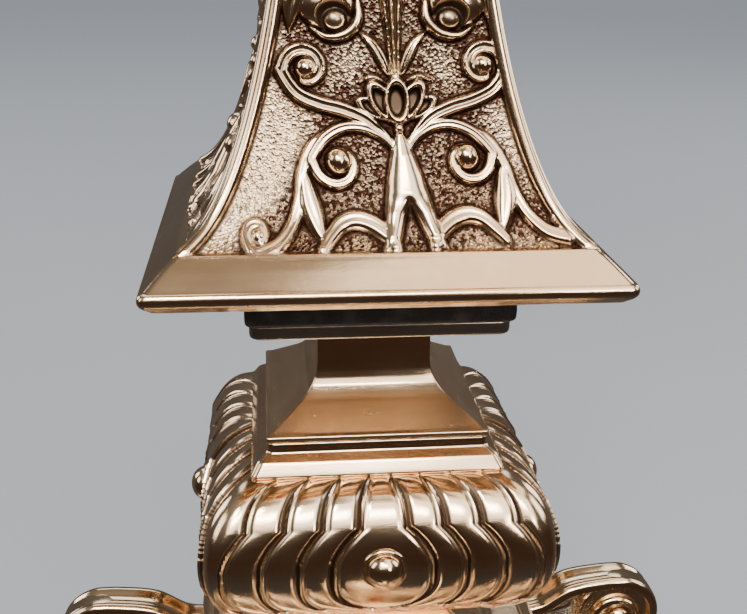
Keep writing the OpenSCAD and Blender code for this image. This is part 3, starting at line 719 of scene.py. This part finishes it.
def riser_ornament(r):
    # A pair of great scrolls with leaves beside the bracket, and smaller ones out to the corners.
    r.scroll([(7, 3), (12, 4.6), (16, 9.4), (18.6, 15.6), (23.6, 19.6)], (21.4, 15), -1.2, 1.6, 1.7, 1.7,
             groove=0.45, ends=(0.5, 0.6))
    r.boss((21.4, 15), 2.2, 2)
    r.scroll([(14, 6.4), (22, 6), (30, 9.4), (37, 12.2), (42, 11)], (38.6, 8), -1.2, 1.3, 1.6, 1.6,
             groove=0.45, ends=(0.5, 0.6))
    r.boss((38.6, 8), 1.9, 1.9)
    r.leaf([(29, 11.6), (32, 16), (36, 18), (41, 17)], 2, 1.7)
    r.scroll([(42, 9.6), (48, 8.8), (54, 6), (60, 4.8)], (58, 2.9), -0.9, 0.9, 1.4, 1.4, groove=0.4,
             ends=(0.5, 0.5))
    r.leaf([(50, 7.6), (54, 10.4), (58, 10.6), (62, 8.6)], 1.6, 1.4)
    r.leaf([(24, 5.8), (29, 3.6), (34, 1.6)], 1.6, 1.4)
    r.leaf([(46, 7.6), (49, 4.4), (52, 1.8)], 1.4, 1.3)
    r.scroll([(6.4, 12), (8.4, 20), (12, 26.6), (18, 31), (23, 31.6)], (20.4, 27.2), -1.1, 1.4, 1.5, 1.6,
             groove=0.45, ends=(0.5, 0.6))
    r.boss((20.4, 27.2), 1.9, 1.9)
    r.leaf([(8, 22), (8, 29), (11, 36), (16.4, 40)], 2.2, 1.8)
    r.leaf([(7, 30), (6, 38), (7.6, 45), (12, 50)], 2.2, 1.8)
    r.leaf([(14.6, 33), (18.4, 36.8), (23, 38.4), (27.4, 37)], 1.7, 1.5)
    r.leaf([(17, 40), (20, 44.6), (24, 47.4), (28.6, 47.6)], 1.7, 1.5)
    for k, at in enumerate((10, 24, 38, 50)):
        r.boss((3.0 + 0.2 * k, at), 1.2, 1.3)


def build_riser():
    rows, columns = 190, 300
    height = Z_CAP - Z_RISER
    verts, marks = relief_panel(riser_half, height, (0, height), Z_RISER, riser_ornament, columns, rows,
                                border=2.6)
    add_four_sides("foot_panel", verts, marks, rows, columns, "foot_riser")


def ribbon(path, width, thickness):
    """A band swept along a path of (out, up), with rounded edges and a groove down its face."""
    path = np.asarray(path)
    ahead = np.gradient(path, axis=0)
    ahead /= np.linalg.norm(ahead, axis=1)[:, None]
    side = np.stack([-ahead[:, 1], ahead[:, 0]], 1)
    outline = [(-0.5, -0.5), (-0.5, 0.2), (-0.43, 0.5), (-0.3, 0.52), (-0.2, 0.2), (0.0, 0.05), (0.2, 0.2),
               (0.3, 0.52), (0.43, 0.5), (0.5, 0.2), (0.5, -0.5)]
    verts = []
    for p, s, w, t in zip(path, side, width, thickness):
        verts += [(p[0] + s[0] * v * t, u * w, p[1] + s[1] * v * t) for u, v in outline]
    return verts, loops_to_faces(len(path), len(outline))


def web(centre, radius, half_depth):
    """The solid between a volute's windings: a disc across Y, a little thinner than the band."""
    outline = soften([(0.01, -half_depth), (radius - 0.8, -half_depth), (radius, -half_depth + 0.8),
                      (radius, half_depth - 0.8), (radius - 0.8, half_depth), (0.01, half_depth)], 0.4)
    verts, faces = round_turned(outline, 48)
    return [(centre[0] + x, -z, centre[1] + y) for x, y, z in verts], faces


def build_side_scrolls():
    """Four brackets: a large volute beside the cap, and a stem that runs down to a small one on the base."""
    top = np.array([CAP_HALF - CAP_NOSE + VOLUTE_OUT, Z_CAP - 2])
    foot = np.array([FOOT_HALF - FOOT_INSET, Z_RISER + 6.5])
    upper = scroll([top + (-27, 3), top + (-19, 4), top + (-12, 8.2), top + (-4, 9.6)], top, -1.75, 2.4)
    lower = scroll([top + (1.5, -10.2), top + (-6, -15), top + (-11, -24), top + (-10.4, -33),
                    foot + (-13.4, 9), foot + (-7, 6.9), foot + (-1.4, 5.9)], foot, -1.5, 1.4)
    parts = []
    for path, width, thick in ((upper, 9, (2.3, 1.5)), (lower, 9, (2.4, 1.3))):
        path = even(path, 0.6)
        share = np.linspace(0, 1, len(path))
        parts.append(ribbon(path, width * (1 - 0.12 * np.sin(share * pi)), np.interp(share, [0, 1], thick)))
    parts += [web(top, 10.2, 2.7), web(foot, 5.8, 2.7)]
    for centre, radius in ((top, 2.9), (foot, 1.9)):
        parts += [ball((centre[0], side * 3, centre[1]), radius, squash=0.75, segments=20, rings=12)
                  for side in (-1, 1)]
    # An acanthus leaf laid along the outer face of the stem, with lobes that stand off it.
    spine = even(smooth_path([top + (3, -12), top + (-4.4, -17.4), top + (-8.6, -25), top + (-8.2, -33),
                              foot + (-11, 11.6)]), 0.5)
    t = np.linspace(0, 1, len(spine))
    parts.append(ribbon(spine, (3.0 + 5.2 * np.sin(t * pi * 0.95) * (0.82 + 0.18 * np.cos(t * 38))),
                        1.5 + 0.3 * np.cos(t * 38)))
    add_four("side_scroll", *joined(parts), "bright_gilt", node="side_scrolls", sharp=50)


def build_foot_details():
    at = FOOT_HALF - FOOT_INSET
    ball_foot = [(0.01, 0), (3.2, 0), (6.6, 0.9), (9.2, 3.6), (9.5, 6.2), (8.9, 8.8), (6.6, 11.2),
                 (5.2, 11.6), (6.4, 12.2), (6.4, 13), (6, 14), (0.01, 14)]
    verts, faces = round_turned(soften(ball_foot, 1.1, 4), 40)
    for i, (x, y) in enumerate(((at, at), (-at, at), (-at, -at), (at, -at))):
        add_piece(f"ball_foot_{i}", np.add(verts, (x, y, 0)), faces, "bright_gilt", node="ball_feet")
    moulding("foot_cap", "gilt", "riser_cap", CAP_HALF, Z_CAP,
             [(-9, 0), (-3.6, 0), (-3.4, 0.8), (-1.4, 1.2), (-0.3, 2.4), (0, 4), (-0.3, 5.6), (-1.4, 6.8),
              (-3.4, 7.2), (-4, 8), (-12, 8)], 0.6, 4, corner=2, per_corner=6)


# ---- stem ----

def build_lower_neck():
    moulding("stem_lower_neck", "gilt", "lower_neck", high("lower_neck")[0], Z_LOWER_NECK,
             [(-4, 0), (-0.4, 0), (0, 0.5), (-0.3, 1.4), (-2, 1.7), (-2.3, 2.4), (-5.2, 2.8), (-8.2, 3.7),
              (-10.6, 5.1), (-12.1, 6.7), (-12.3, 7.9), (-11.6, 9.3), (-9.6, 10.6), (-8.2, 11.1),
              (-7.2, 11.5), (-7, 13), (-14, 13)], 0.6, 4, corner=0.8)


SEAM_TOP = (1.3, 6.6, 12.4, 18.6)
SEAM_WAIST = (4.5, 11.6, 18.8, 26.4)
SEAM_WIDE = (9.6, 16.2, 23.6, 30.8)


def seam_at(k, v):
    """Place across a side of the k-th lobe's outer edge. v is 0 at the top and 1 underneath."""
    rise = np.clip(v / 0.31, 0, 1)
    x = SEAM_TOP[k] + (SEAM_WAIST[k] - SEAM_TOP[k]) * np.sin(rise * pi / 2) ** 0.9
    bulge = np.clip((v - 0.31) / 0.17, 0, 1)
    x = x + (SEAM_WIDE[k] - SEAM_WAIST[k]) * np.sin(bulge * pi / 2) ** 0.9
    close = np.clip((v - 0.53) / 0.17, 0, 1)
    curl = 8.6 if k == 0 else 5.6
    return x - curl * (1 - np.sqrt(1 - 0.985 * close ** 2))


def lobe_heights(distance, v, reach):
    """Heights of the shingled lobes: each rises from under its neighbour to a thin rim on its outer edge."""
    edges = [np.full_like(distance, -1e-6)] + [seam_at(k, v) for k in range(4)]
    out = np.zeros_like(distance)
    for k in range(4):
        inner, outer = edges[k], edges[k + 1]
        start = distance - inner if k else out * 0
        rise = np.sin(np.clip(start / 1.7, 0, 1) * pi / 2) ** 1.2 if k else 1
        across = np.clip(start / np.maximum(outer - inner * (k > 0), 0.5), 0, 1)
        dome = 0.34 * (np.sin(across * pi) if k else np.cos(across * pi / 2))
        to_rim = outer - distance
        body = (0.5 + dome) * rise - 0.18 * np.exp(-((to_rim - 1.1) / 0.5) ** 2)
        rim = 0.55 * np.exp(-(to_rim / 0.36) ** 2)
        out = np.where((distance >= inner) & (distance < outer), body + rim, out)
    corner = np.clip((distance - edges[4]) / np.maximum(reach - edges[4], 0.5), 0, 1)
    out = np.where(distance >= edges[4], 0.62 * np.sin(corner * pi / 2) ** 0.7, out)
    # Below the lobes, small flutes run in to the neck.
    flutes = 0.5 * np.abs(np.cos(distance / reach * pi * 5)) ** 0.7
    under = np.clip((v - 0.70) / 0.03, 0, 1)
    return out * (1 - under) + flutes * under


def build_knop():
    lo, hi = low("knop"), high("knop")
    height = hi[2] - lo[2]
    end_half = PLINTH_HALF - 1.2
    rows, columns = 168, 300
    v = np.linspace(1, 0, rows)
    angle = pi / 2 - v * pi
    z = lo[2] + height / 2 + height / 2 * np.sin(angle)
    half = end_half + (KNOP_HALF - 0.9 - end_half) * np.cos(angle)
    corner = 2.5 + 2.7 * np.cos(angle)
    straight = (half - corner)[:, None]
    reach = straight + corner[:, None] * pi / 4
    place = np.linspace(-1, 1, columns)[None, :] * reach
    distance = np.abs(place)
    out = lobe_heights(distance, np.repeat(v[:, None], columns, 1), reach)
    out = out * np.interp(v, [0, 0.04, 0.16, 0.95, 1.0], [0.0, 0.45, 1.0, 1.0, 0.0])[:, None]
    side = np.sign(place)
    arc = np.clip((distance - straight) / corner[:, None], 0, pi / 4)
    nx, ny = side * np.sin(arc), -np.cos(arc)
    level = np.maximum(np.cos(angle), 0.2)[:, None]
    x = side * np.minimum(distance, straight) + corner[:, None] * nx + out * nx * level
    y = -straight + corner[:, None] * ny + out * ny * level
    z = z[:, None] + out * np.sin(angle)[:, None] * 0.8
    verts = np.stack([x, y, z], 2).reshape(-1, 3)
    # Painted shade: the grooves beside the lobes' rims darken towards the tarnish colour through the cavity
    # mark.
    cavity = np.clip((blurred(out, 6) - out) / 0.2, 0, 1).reshape(-1)
    add_four_sides("knop_side", verts, {"cavity": cavity}, rows, columns, "knop")


def build_studs():
    middle = (low("knop")[2] + high("knop")[2]) / 2 + 0.9
    profile = [(4.5, -1.6), (4.5, 0.1), (4.35, 0.5), (4.0, 0.65), (3.75, 0.5), (3.65, 0.3)]
    profile += [(3.65 * cos(a), 0.3 + 3.0 * sin(a)) for a in np.linspace(0.1, 1.5, 14)]
    profile.append((0.01, 3.3))
    verts, faces = round_turned(profile, 48)
    front = [(x, -KNOP_HALF - z + 0.5, middle + y) for x, y, z in verts]
    add_four("knop_stud", front, faces, "bright_gilt", node="knop_studs", sharp=60)


def build_neck():
    p = PLINTH_HALF
    moulding("stem_plinth", "gilt", "plinth", p, Z_PLINTH,
             [(-9, 0), (-0.7, 0), (-0.1, 0.2), (0, 0.6), (-0.2, 1), (-1.3, 2.9), (-1.55, 3.15), (-2.9, 4.05),
              (-3.1, 4.3), (-3.2, 4.6), (-3.2, 6.2), (-10, 6.2)], 0.4, 4, corner=1.5, per_corner=6)
    top = Z_ABACUS - Z_NECK
    band = 11.3
    neck = [(p - 10, 0), (p - 3.2, 0), (p - 3.2, 0.9), (p - 3.3, 1.2), (p - 3.7, 1.35), (p - 4.1, 1.5),
            (p - 4.6, 1.8), (p - 8, 4.1), (p - 10.6, 5.9), (p - 11.6, 6.8), (p - 12.4, 7.9), (p - 13, 9.2),
            (p - 13.35, 10.6), (band + 0.05, 12.2), (band, top - 3.4), (band, top - 2.9),
            (band + 0.7, top - 2.5), (band + 0.7, top), (8, top)]
    verts, faces = square_turned(soften([(w, Z_NECK + z) for w, z in neck], 0.3, 3), corner=0.35)
    satin = [float(v[2] < Z_NECK + 7) for v in verts]
    add_piece("stem_neck", verts, faces, "gilt", node="neck", attributes={"satin": satin})


def build_packing():
    # The abacus and the flare's collar are darker gilt, with the flare's shade painted into their colour.
    moulding("stem_abacus", "dark_bronze", "abacus", high("abacus")[0], Z_ABACUS,
             [(-8, 0), (-0.5, 0), (-0.1, 0.25), (0, 0.8), (0, 2.6), (-0.2, 2.8), (-8, 2.8)],
             0.35, corner=2.2, per_corner=6)
    thick = Z_COLLAR - Z_SPACER
    moulding("stem_packing", "leather", "spacer", high("spacer")[0], Z_SPACER,
             [(-8, 0), (-0.6, 0), (-0.1, 0.5), (0, thick / 2), (-0.1, thick - 0.5), (-0.5, thick),
              (-8, thick)], 0.4, corner=1)
    deep = Z_FLARE - Z_COLLAR
    moulding("flare_packing_collar", "dark_bronze", "flare_collar", high("flare_collar")[0], Z_COLLAR,
             [(-8, 0), (0, 0), (0, 1.4), (-1, 1.9), (-2.6, 2.6), (-3, deep), (-9, deep)], 0.4, corner=0.8)


def build_flare_moulding():
    moulding("flare_edge", "gilt", "flare_moulding", FLARE_HALF, Z_FLARE,
             [(-9, -0.8), (-2.4, -0.8), (-1.7, -0.7), (-1.5, -0.45), (-0.6, 0.2), (-0.1, 0.9), (0, 1.6),
              (-0.15, 2.3), (-0.5, 2.75), (-0.8, 2.8), (-1, 2.95), (-2.2, 4.15), (-3.6, 5.5), (-5, 6.75),
              (-5.6, 7.2), (-5.75, 7.4), (-6.1, 7.6), (-12, 7.6)], 0.3, corner=1.5, per_corner=6)


ORNAMENT_LEAN = 3.1
SHAFT_CUT = 46


def build_shaft():
    """Each side is a finer lower panel and a plainer upper one."""
    for name, span, rows, columns in (("shaft_lower", (0, SHAFT_CUT), 320, 300),
                                      ("shaft_upper", (SHAFT_CUT, FLARE_H), 300, 190)):
        verts, marks = relief_panel(shaft_half, FLARE_H, span, Z_SHELL, shaft_ornament, columns, rows,
                                    lean=ORNAMENT_LEAN)
        add_four_sides(name, verts, marks, rows, columns, "flare_shell")


def build_stem_top():
    moulding("stem_capital", "gilt", "stem_cap", high("stem_cap")[0] - 6, Z_STEM_CAP,
             [(-6, 0), (1, 0), (1.8, 0.4), (2, 1), (1.6, 1.7), (0.8, 2), (0.2, 3.2), (0.4, 4.6), (1.6, 6.2),
              (3.8, 7.4), (5.2, 7.8), (5.9, 8.6), (6, 9.8), (5.9, 11), (5, 11.3), (4.6, 12.2), (3.4, 12.6),
              (3, 14), (-4, 14)], 0.5, corner=1)
    # Upper knop: a lobed body between two turned collars.
    rows, count = 40, 240
    v = np.linspace(0, 1, rows)
    radius = 6.4 + 8.0 * np.sin(v * pi) ** 0.8
    z = Z_UPPER_KNOP + 2.6 + 14.8 * v
    turn = around(count)
    lobes = np.abs(np.sin(turn * 8))[None, :] ** 0.8 * np.sin(v * pi)[:, None] ** 0.7
    r = radius[:, None] - 0.7 + 0.9 * lobes
    body = np.stack([r * np.cos(turn), r * np.sin(turn), np.repeat(z[:, None], count, 1)], 2).reshape(-1, 3)
    collar = [(0.01, 0), (8.4, 0), (9, 0.6), (8.6, 1.6), (7.4, 2.4), (6.8, 3.2), (0.01, 3.2)]
    below = round_turned(soften([(w, Z_UPPER_KNOP + up) for w, up in collar], 0.4), 48)
    above = round_turned(soften([(w, Z_FERRULE - up) for w, up in collar[::-1]], 0.4), 48)
    parts = joined([(body, loops_to_faces(rows, count)), below, above])
    add_piece("stem_upper_knop", *parts, "gilt", node="upper_knop", sharp=45)
    ferrule = [(0.01, 0), (8.3, 0), (9.3, 0.7), (9.3, 1.4), (8.5, 2), (7.6, 3.4), (7.3, 5.6), (7.6, 8),
               (8.3, 11.6), (9.2, 13.6), (9.4, 15.4), (9.2, 16.9), (10.2, 17.5), (10.4, 18.5), (10.1, 19.5),
               (9.6, 20), (0.01, 20)]
    outline = soften([(w, Z_FERRULE + up) for w, up in ferrule], 0.4)
    add_piece("stem_ferrule", *round_turned(outline), "bright_gilt", node="ferrule")


# ---- sunburst ----

RAY_COUNT = 60
RAY_SHARES = (1.0, 0.88, 0.74, 0.74, 0.88)
FLAMES = (1, 4)
RING_R = 60


def build_stalk():
    s = Z_STALK
    outline = [(s, 7), (s + 2, 8.5), (s + 4, 7), (s + 9, 5), (s + 18, 6.5), (s + 24, 9.5), (s + 29, 7),
               (s + 33, 8), (s + 36, 6.5), (Z_LUNA - 72, 5.5), (Z_LUNA - 64, 8), (Z_LUNA - 45, 8)]
    points = smooth_path(outline, 0.7)
    turn = around(48)
    verts = []
    for z, half in points:
        flat = np.interp(z, [Z_STALK, Z_LUNA - 70, Z_LUNA - 60], [0.62, 0.62, 0.38])
        lobes = 1 - 0.05 * np.abs(np.sin(turn * 6)) * np.clip((z - Z_STALK - 6) / 4, 0, 1)
        deep = max(-half * flat, -4.9)
        verts += [(half * cos(a) * m, deep * -sin(a) * m, z) for a, m in zip(turn, lobes)]
    add_piece("glory_stalk", verts, loops_to_faces(len(points), len(turn)), "gilt", node="stalk", sharp=0)


def ray_form(length, width, flame):
    """One ray along +X from the ring: a ridged blade, straight or flaming, thin at the edges."""
    root = RING_R - 1
    if flame:
        t = np.linspace(0, 1, 27)[:-1]
        half = width * (1 - 0.8 * t ** 1.3) * 0.9
        sway = 0.9 * np.sin(t * pi * 4) * np.clip(t * 4, 0, 1) * (1 - 0.5 * t)
    else:
        t = np.array([0, 0.72])
        half = np.array([width, width * 0.72])
        sway = np.zeros(2)
    verts = []
    for x, h, s in zip(root + (length - root) * t, half, sway):
        ridge, keel = 1.5 * h / width + 0.2, -1.2 * h / width
        verts += [(x, s + h, 0), (x, s + 0.25 * h, ridge), (x, s - 0.25 * h, ridge),
                  (x, s - h, 0), (x, s - 0.25 * h, keel), (x, s + 0.25 * h, keel)]
    faces = loops_to_faces(len(t), 6, closed_ends=False)
    faces.append([5, 4, 3, 2, 1, 0])
    tip = len(verts)
    verts.append((length, 0, 0))
    faces += [[tip - 6 + i, tip - 6 + (i + 1) % 6, tip] for i in range(6)]
    return np.array(verts), [f[::-1] for f in faces]


def ray_layer(name, node, reach, turn, depth):
    """A round plate with its rays. None stands where the stalk comes up."""
    rays = []
    for i in range(RAY_COUNT):
        angle = 90 + i * 360 / RAY_COUNT + turn
        if abs((angle - 270 + 180) % 360 - 180) < 7:
            continue
        length = RING_R + (reach - RING_R) * RAY_SHARES[i % 5]
        if i == 0 and turn == 0:
            length = reach - 10
        verts, faces = ray_form(length, RING_R * pi / RAY_COUNT - 0.12, i % 5 in FLAMES)
        x, y, z = verts.T
        c, s = cos(radians(angle)), sin(radians(angle))
        rays.append((np.stack([x * c - y * s, depth - z, Z_LUNA + x * s + y * c], 1), faces))
    verts, faces = ring_turned([(44, -1.2), (60.5, -1.2), (60.5, 1.2), (44, 1.2)])
    rays.append((np.array(facing_front(verts)) + (0, depth, 0), faces))
    add_piece(name, *joined(rays), "gilt", node=node, sharp=12)


def build_rays():
    ray_layer("glory_rays_front", "front_rays", RAY_R, 0, -1.5)
    ray_layer("glory_rays_rear", "rear_rays", RAY_R * 0.92, 3, 1.5)


def wreath(inner, outer, base, body, crown, lobes, rim):
    """A flat ring of lobes between two rounded rims. base is how far its back is from the case's middle."""
    segments, rows = lobes * 24, 26
    turn = around(segments)
    v = np.linspace(0, 1, rows)
    radius = inner + 1.2 + (outer - inner - 3.0) * v
    swell = body + crown * np.sin(v * pi) ** 0.7
    waves = np.abs(np.cos(turn[None, :] * lobes + 0.9 * np.sin(v[:, None] * pi)))
    height = swell[:, None] * (0.72 + 0.28 * waves ** 0.6)
    ring = []
    for r, row in zip(radius, height):
        ring += [(r * cos(a), r * sin(a), base + h) for a, h in zip(turn, row)]
    ring += circle(outer, segments, base) + circle(inner, segments, base)
    faces = loops_to_faces(rows + 2, segments, closed_ends=False)
    last = (rows + 1) * segments
    faces += [[last + i, last + (i + 1) % segments, (i + 1) % segments, i] for i in range(segments)]
    faces = [f[::-1] for f in faces]
    rims = [ring_turned([(r + rim * cos(a), base + 0.6 * rim + 1.2 * rim * sin(a)) for a in around(10)], 160)
            for r in (inner + 0.8, outer - 0.6)]
    return joined([(ring, faces)] + rims)


def build_wreaths():
    verts, faces = wreath(47.8, 63.2, 3.0, 1.6, 3.0, 18, 1.1)
    add_piece("glory_wreath", facing_front(verts), faces, "bright_gilt", node="glory_ring", sharp=50)
    # A flatter one behind the rays, in which the screws' heads sit.
    verts, faces = wreath(45.6, 59.6, 2.9, 0.5, 0.7, 30, 0.8)
    add_piece("rear_wreath", facing_back(verts), faces, "gilt", sharp=50)


def beads(count, radius, height, size):
    return joined([ball(p, size, segments=8, rings=6) for p in circle(radius, count, height)])


def build_case():
    step = [(37.0, 11.0), (47.0, 11.0), (47.0, 12.0), (46.4, 13.0), (44.6, 14.2), (43.0, 14.8), (41.4, 15.1),
            (40.2, 14.8), (39.2, 13.9), (38.2, 13.4), (37.2, 12.6)]
    verts, faces = joined([ring_turned(step, 160), beads(96, 45.4, 13.4, 1.25)])
    add_piece("case_bezel", facing_front(verts), faces, "bright_gilt", node="front_bezel", sharp=40)
    # A row of pearls round the door's opening, inside the reach of the latch.
    verts, faces = beads(110, 38.3, 15.0, 0.85)
    add_piece("door_pearls", facing_back(verts), faces, "bright_gilt", body="door", sharp=40)


CROSS_H = 44


def cross_arm(start, end, width, flare):
    """A bar of lozenge section that widens towards its end."""
    start, end = np.array(start, float), np.array(end, float)
    along = (end - start) / np.linalg.norm(end - start)
    side, deep = np.array([along[2], 0, -along[0]]), np.array([0, 1.9, 0])
    verts = []
    for t, w in ((0, width), (0.75, width), (1, width * flare)):
        c = start + (end - start) * t
        verts += [c + side * w, c + deep, c - side * w, c - deep]
    return verts, loops_to_faces(3, 4)


def build_cross():
    """Arms that end in trefoils, with short rays in the angles, on an orb."""
    reach, _, top = high("top_cross")
    reach -= 3.6
    crown = Z_LUNA + RAY_R
    bar = crown + CROSS_H * 0.58 + 2.6
    parts = [cross_arm((0, 0, crown - 1), (0, 0, top - 5), 2.4, 1)]
    parts += [cross_arm((0, 0, bar), (s * reach, 0, bar), 2.2, 1.15) for s in (-1, 1)]
    for x, z in ((0, top - 3.4), (-reach, bar), (reach, bar)):
        parts.append(ball((x, 0, z), 3.1, squash=0.6))
        parts += [ball((x + dx * 2.4, 0, z + dz * 2.4), 1.3, squash=0.8, segments=10, rings=6)
                  for dx, dz in ((1, 0), (-1, 0), (0, 1), (0, -1))]
    parts.append(ball((0, 0, bar), 3.8, squash=0.62))
    for k in range(4):
        for off, length in ((-0.3, 8), (0, 11), (0.3, 8)):
            a = pi / 4 + k * pi / 2 + off
            c, s = cos(a), sin(a)
            spike = [(-s * 0.8, 0, bar + c * 0.8), (0, 0.9, bar), (s * 0.8, 0, bar - c * 0.8),
                     (0, -0.9, bar), (c * length, 0, bar + s * length)]
            parts.append((spike, [[0, 1, 4], [1, 2, 4], [2, 3, 4], [3, 0, 4], [3, 2, 1, 0]]))
    add_piece("cross_top", *joined(parts), "bright_gilt", node="top_cross", sharp=30)
    orb = [(0.01, -7.4), (2.6, -7.3), (4.4, -6.4), (6.9, -3.6), (7.7, -1.2), (8, -0.9), (8.2, 0), (8, 0.9),
           (7.7, 1.2), (6.9, 3.6), (4.4, 6.4), (3.2, 7.4), (3.8, 8.2), (3, 9), (0.01, 9)]
    outline = soften([(w, crown - 7 + z) for w, z in orb], 0.7)
    add_piece("cross_orb", *round_turned(outline, 56), "bright_gilt", node="cross_base", sharp=45)


def finish_solids():
    """The solids whose shape is right keep it: eased edges and a material each."""
    slots = {s["node"]: s["material_slot"] for s in frame["record"]["subparts"]}
    for name, node in NODES.items():
        node.data.materials.clear()
        node.data.materials.append(MATERIALS[slots[name]])
        if slots[name] == "glass":
            continue
        bevel = node.modifiers.new("eased edges", "BEVEL")
        bevel.width = 0.22 * MM
        bevel.segments = 2
        bevel.limit_method = "ANGLE"
        bevel.angle_limit = radians(35)


# ---- stage ----

PALE = (0.30, 0.33, 0.37)


def staged(obj, name, base, glow, **sheen):
    """A pale surface of the room, which the metal doesn't reflect."""
    m = Finish(name)
    m.shade(Base_Color=base, Emission_Color=PALE, Emission_Strength=glow, **sheen)
    obj.name = name
    obj.data.materials.append(m.material)
    obj.visible_glossy = False


def build_stage():
    bpy.ops.mesh.primitive_plane_add(size=1, location=(0, 0.2, 0))
    floor = bpy.context.object
    floor.scale = (30, 30, 1)
    staged(floor, "floor", (0.24, 0.25, 0.27), 0.8, Roughness=1.0, Specular_IOR_Level=0.0)
    bpy.ops.mesh.primitive_uv_sphere_add(radius=14, segments=64, ring_count=32)
    room = bpy.context.object
    staged(room, "backdrop", (0.0, 0.0, 0.0), 1.0)
    room.visible_diffuse = False
    room.visible_shadow = False


def build_world():
    """What the metal reflects besides the lamps: dim and brown low down, paler overhead, greyer behind."""
    world = bpy.data.worlds.new("room")
    bpy.context.scene.world = world
    world.use_nodes = True
    m = Finish("room", world.node_tree)
    place = m.made("SeparateXYZ", Vector=m.places["Generated"])
    shades = m.made("ValToRGB", Fac=m.maths("MULTIPLY_ADD", place.outputs["Z"], 0.5, 0.5))
    stops = shades.color_ramp.elements
    stops[0].color = (0.058, 0.067, 0.075, 1)
    stops[1].color = (0.40, 0.32, 0.24, 1)
    for at, colour in ((0.30, (0.045, 0.027, 0.019, 1)), (0.50, (0.042, 0.027, 0.021, 1)),
                       (0.60, (0.060, 0.046, 0.038, 1)), (0.70, (0.13, 0.118, 0.104, 1)),
                       (0.88, (0.22, 0.205, 0.18, 1))):
        stops.new(at).color = colour
    behind = m.maths("MULTIPLY", m.ramp(place.outputs["Y"], -0.25, 0.55), 0.75)
    background = m.nodes["Background"]
    m.put(m.mix(behind, shades.outputs["Color"], (0.115, 0.108, 0.105)), background.inputs["Color"])
    background.inputs["Strength"].default_value = 1.0


def add_light(name, place, aim, size, power, colour=(1, 1, 1)):
    light = bpy.data.lights.new(name, "AREA")
    light.shape = "RECTANGLE"
    light.size, light.size_y = size
    light.energy = power
    light.color = colour
    holder = bpy.data.objects.new(name, light)
    bpy.context.scene.collection.objects.link(holder)
    holder.location = place
    holder.rotation_euler = (Vector(aim) - Vector(place)).to_track_quat("-Z", "Y").to_euler()


def build_lights():
    middle = (0, 0, 0.2)
    add_light("window", (0.12, -1.02, 1.06), middle, (1.7, 0.85), 14, (1.0, 0.92, 0.82))
    add_light("window_core", (-0.05, -1.0, 1.0), middle, (0.7, 0.20), 9, (1.0, 0.97, 0.92))
    add_light("overhead", (0.50, -0.15, 1.35), (0.4, -0.1, 0.2), (0.95, 0.7), 4.2, (1.0, 0.88, 0.74))
    add_light("lamp", (-0.28, -0.70, 1.10), middle, (0.26, 0.16), 5.0, (1.0, 0.96, 0.9))
    add_light("low_lamp", (0.55, -1.1, 0.55), middle, (0.14, 0.30), 3.0, (1.0, 0.94, 0.86))
    add_light("overhead_back", (0.0, 1.0, 1.3), middle, (1.3, 0.6), 5, (0.95, 0.97, 1.0))
    add_light("left", (-1.25, -0.3, 0.8), middle, (0.5, 0.7), 3.5, (1.0, 0.95, 0.9))
    add_light("right", (1.25, -0.2, 0.8), middle, (0.5, 0.7), 4, (1.0, 0.96, 0.92))
    add_light("back_left", (-1.35, 0.75, 0.75), middle, (0.5, 0.8), 5)
    add_light("back_right", (1.35, 0.75, 0.75), middle, (0.5, 0.8), 5)


CAMERA_YAW = 6.07
CAMERA_PITCH = 20.88
CAMERA_ROLL = 0.82
CAMERA_DISTANCE = 200.0
CAMERA_LENS = 50.0


def build_camera():
    """Looks a little down on the neck of the stem from close by."""
    aim = Vector((-0.6, -14.5, Z_ABACUS + 2.5)) * MM
    yaw, pitch, roll = (radians(a) for a in (CAMERA_YAW, CAMERA_PITCH, CAMERA_ROLL))
    ahead = Vector((sin(yaw) * cos(pitch), cos(yaw) * cos(pitch), -sin(pitch)))
    right = Vector((cos(yaw), -sin(yaw), 0))
    up = right.cross(ahead)
    right, up = right * cos(roll) + up * sin(roll), up * cos(roll) - right * sin(roll)
    data = bpy.data.cameras.new("camera")
    data.lens = CAMERA_LENS
    data.sensor_width = 36
    data.clip_start = 0.01
    camera = bpy.data.objects.new("camera", data)
    place = aim - ahead * CAMERA_DISTANCE * MM
    camera.matrix_world = Matrix((right, up, -ahead)).transposed().to_4x4()
    camera.location = place
    bpy.context.scene.collection.objects.link(camera)
    bpy.context.scene.camera = camera


build_camera()
build_foot()
build_riser()
build_side_scrolls()
build_foot_details()
build_lower_neck()
build_knop()
build_studs()
build_neck()
build_packing()
build_flare_moulding()
build_shaft()
build_stem_top()
build_stalk()
build_rays()
build_wreaths()
build_case()
build_cross()
finish_solids()
build_stage()
build_world()
build_lights()
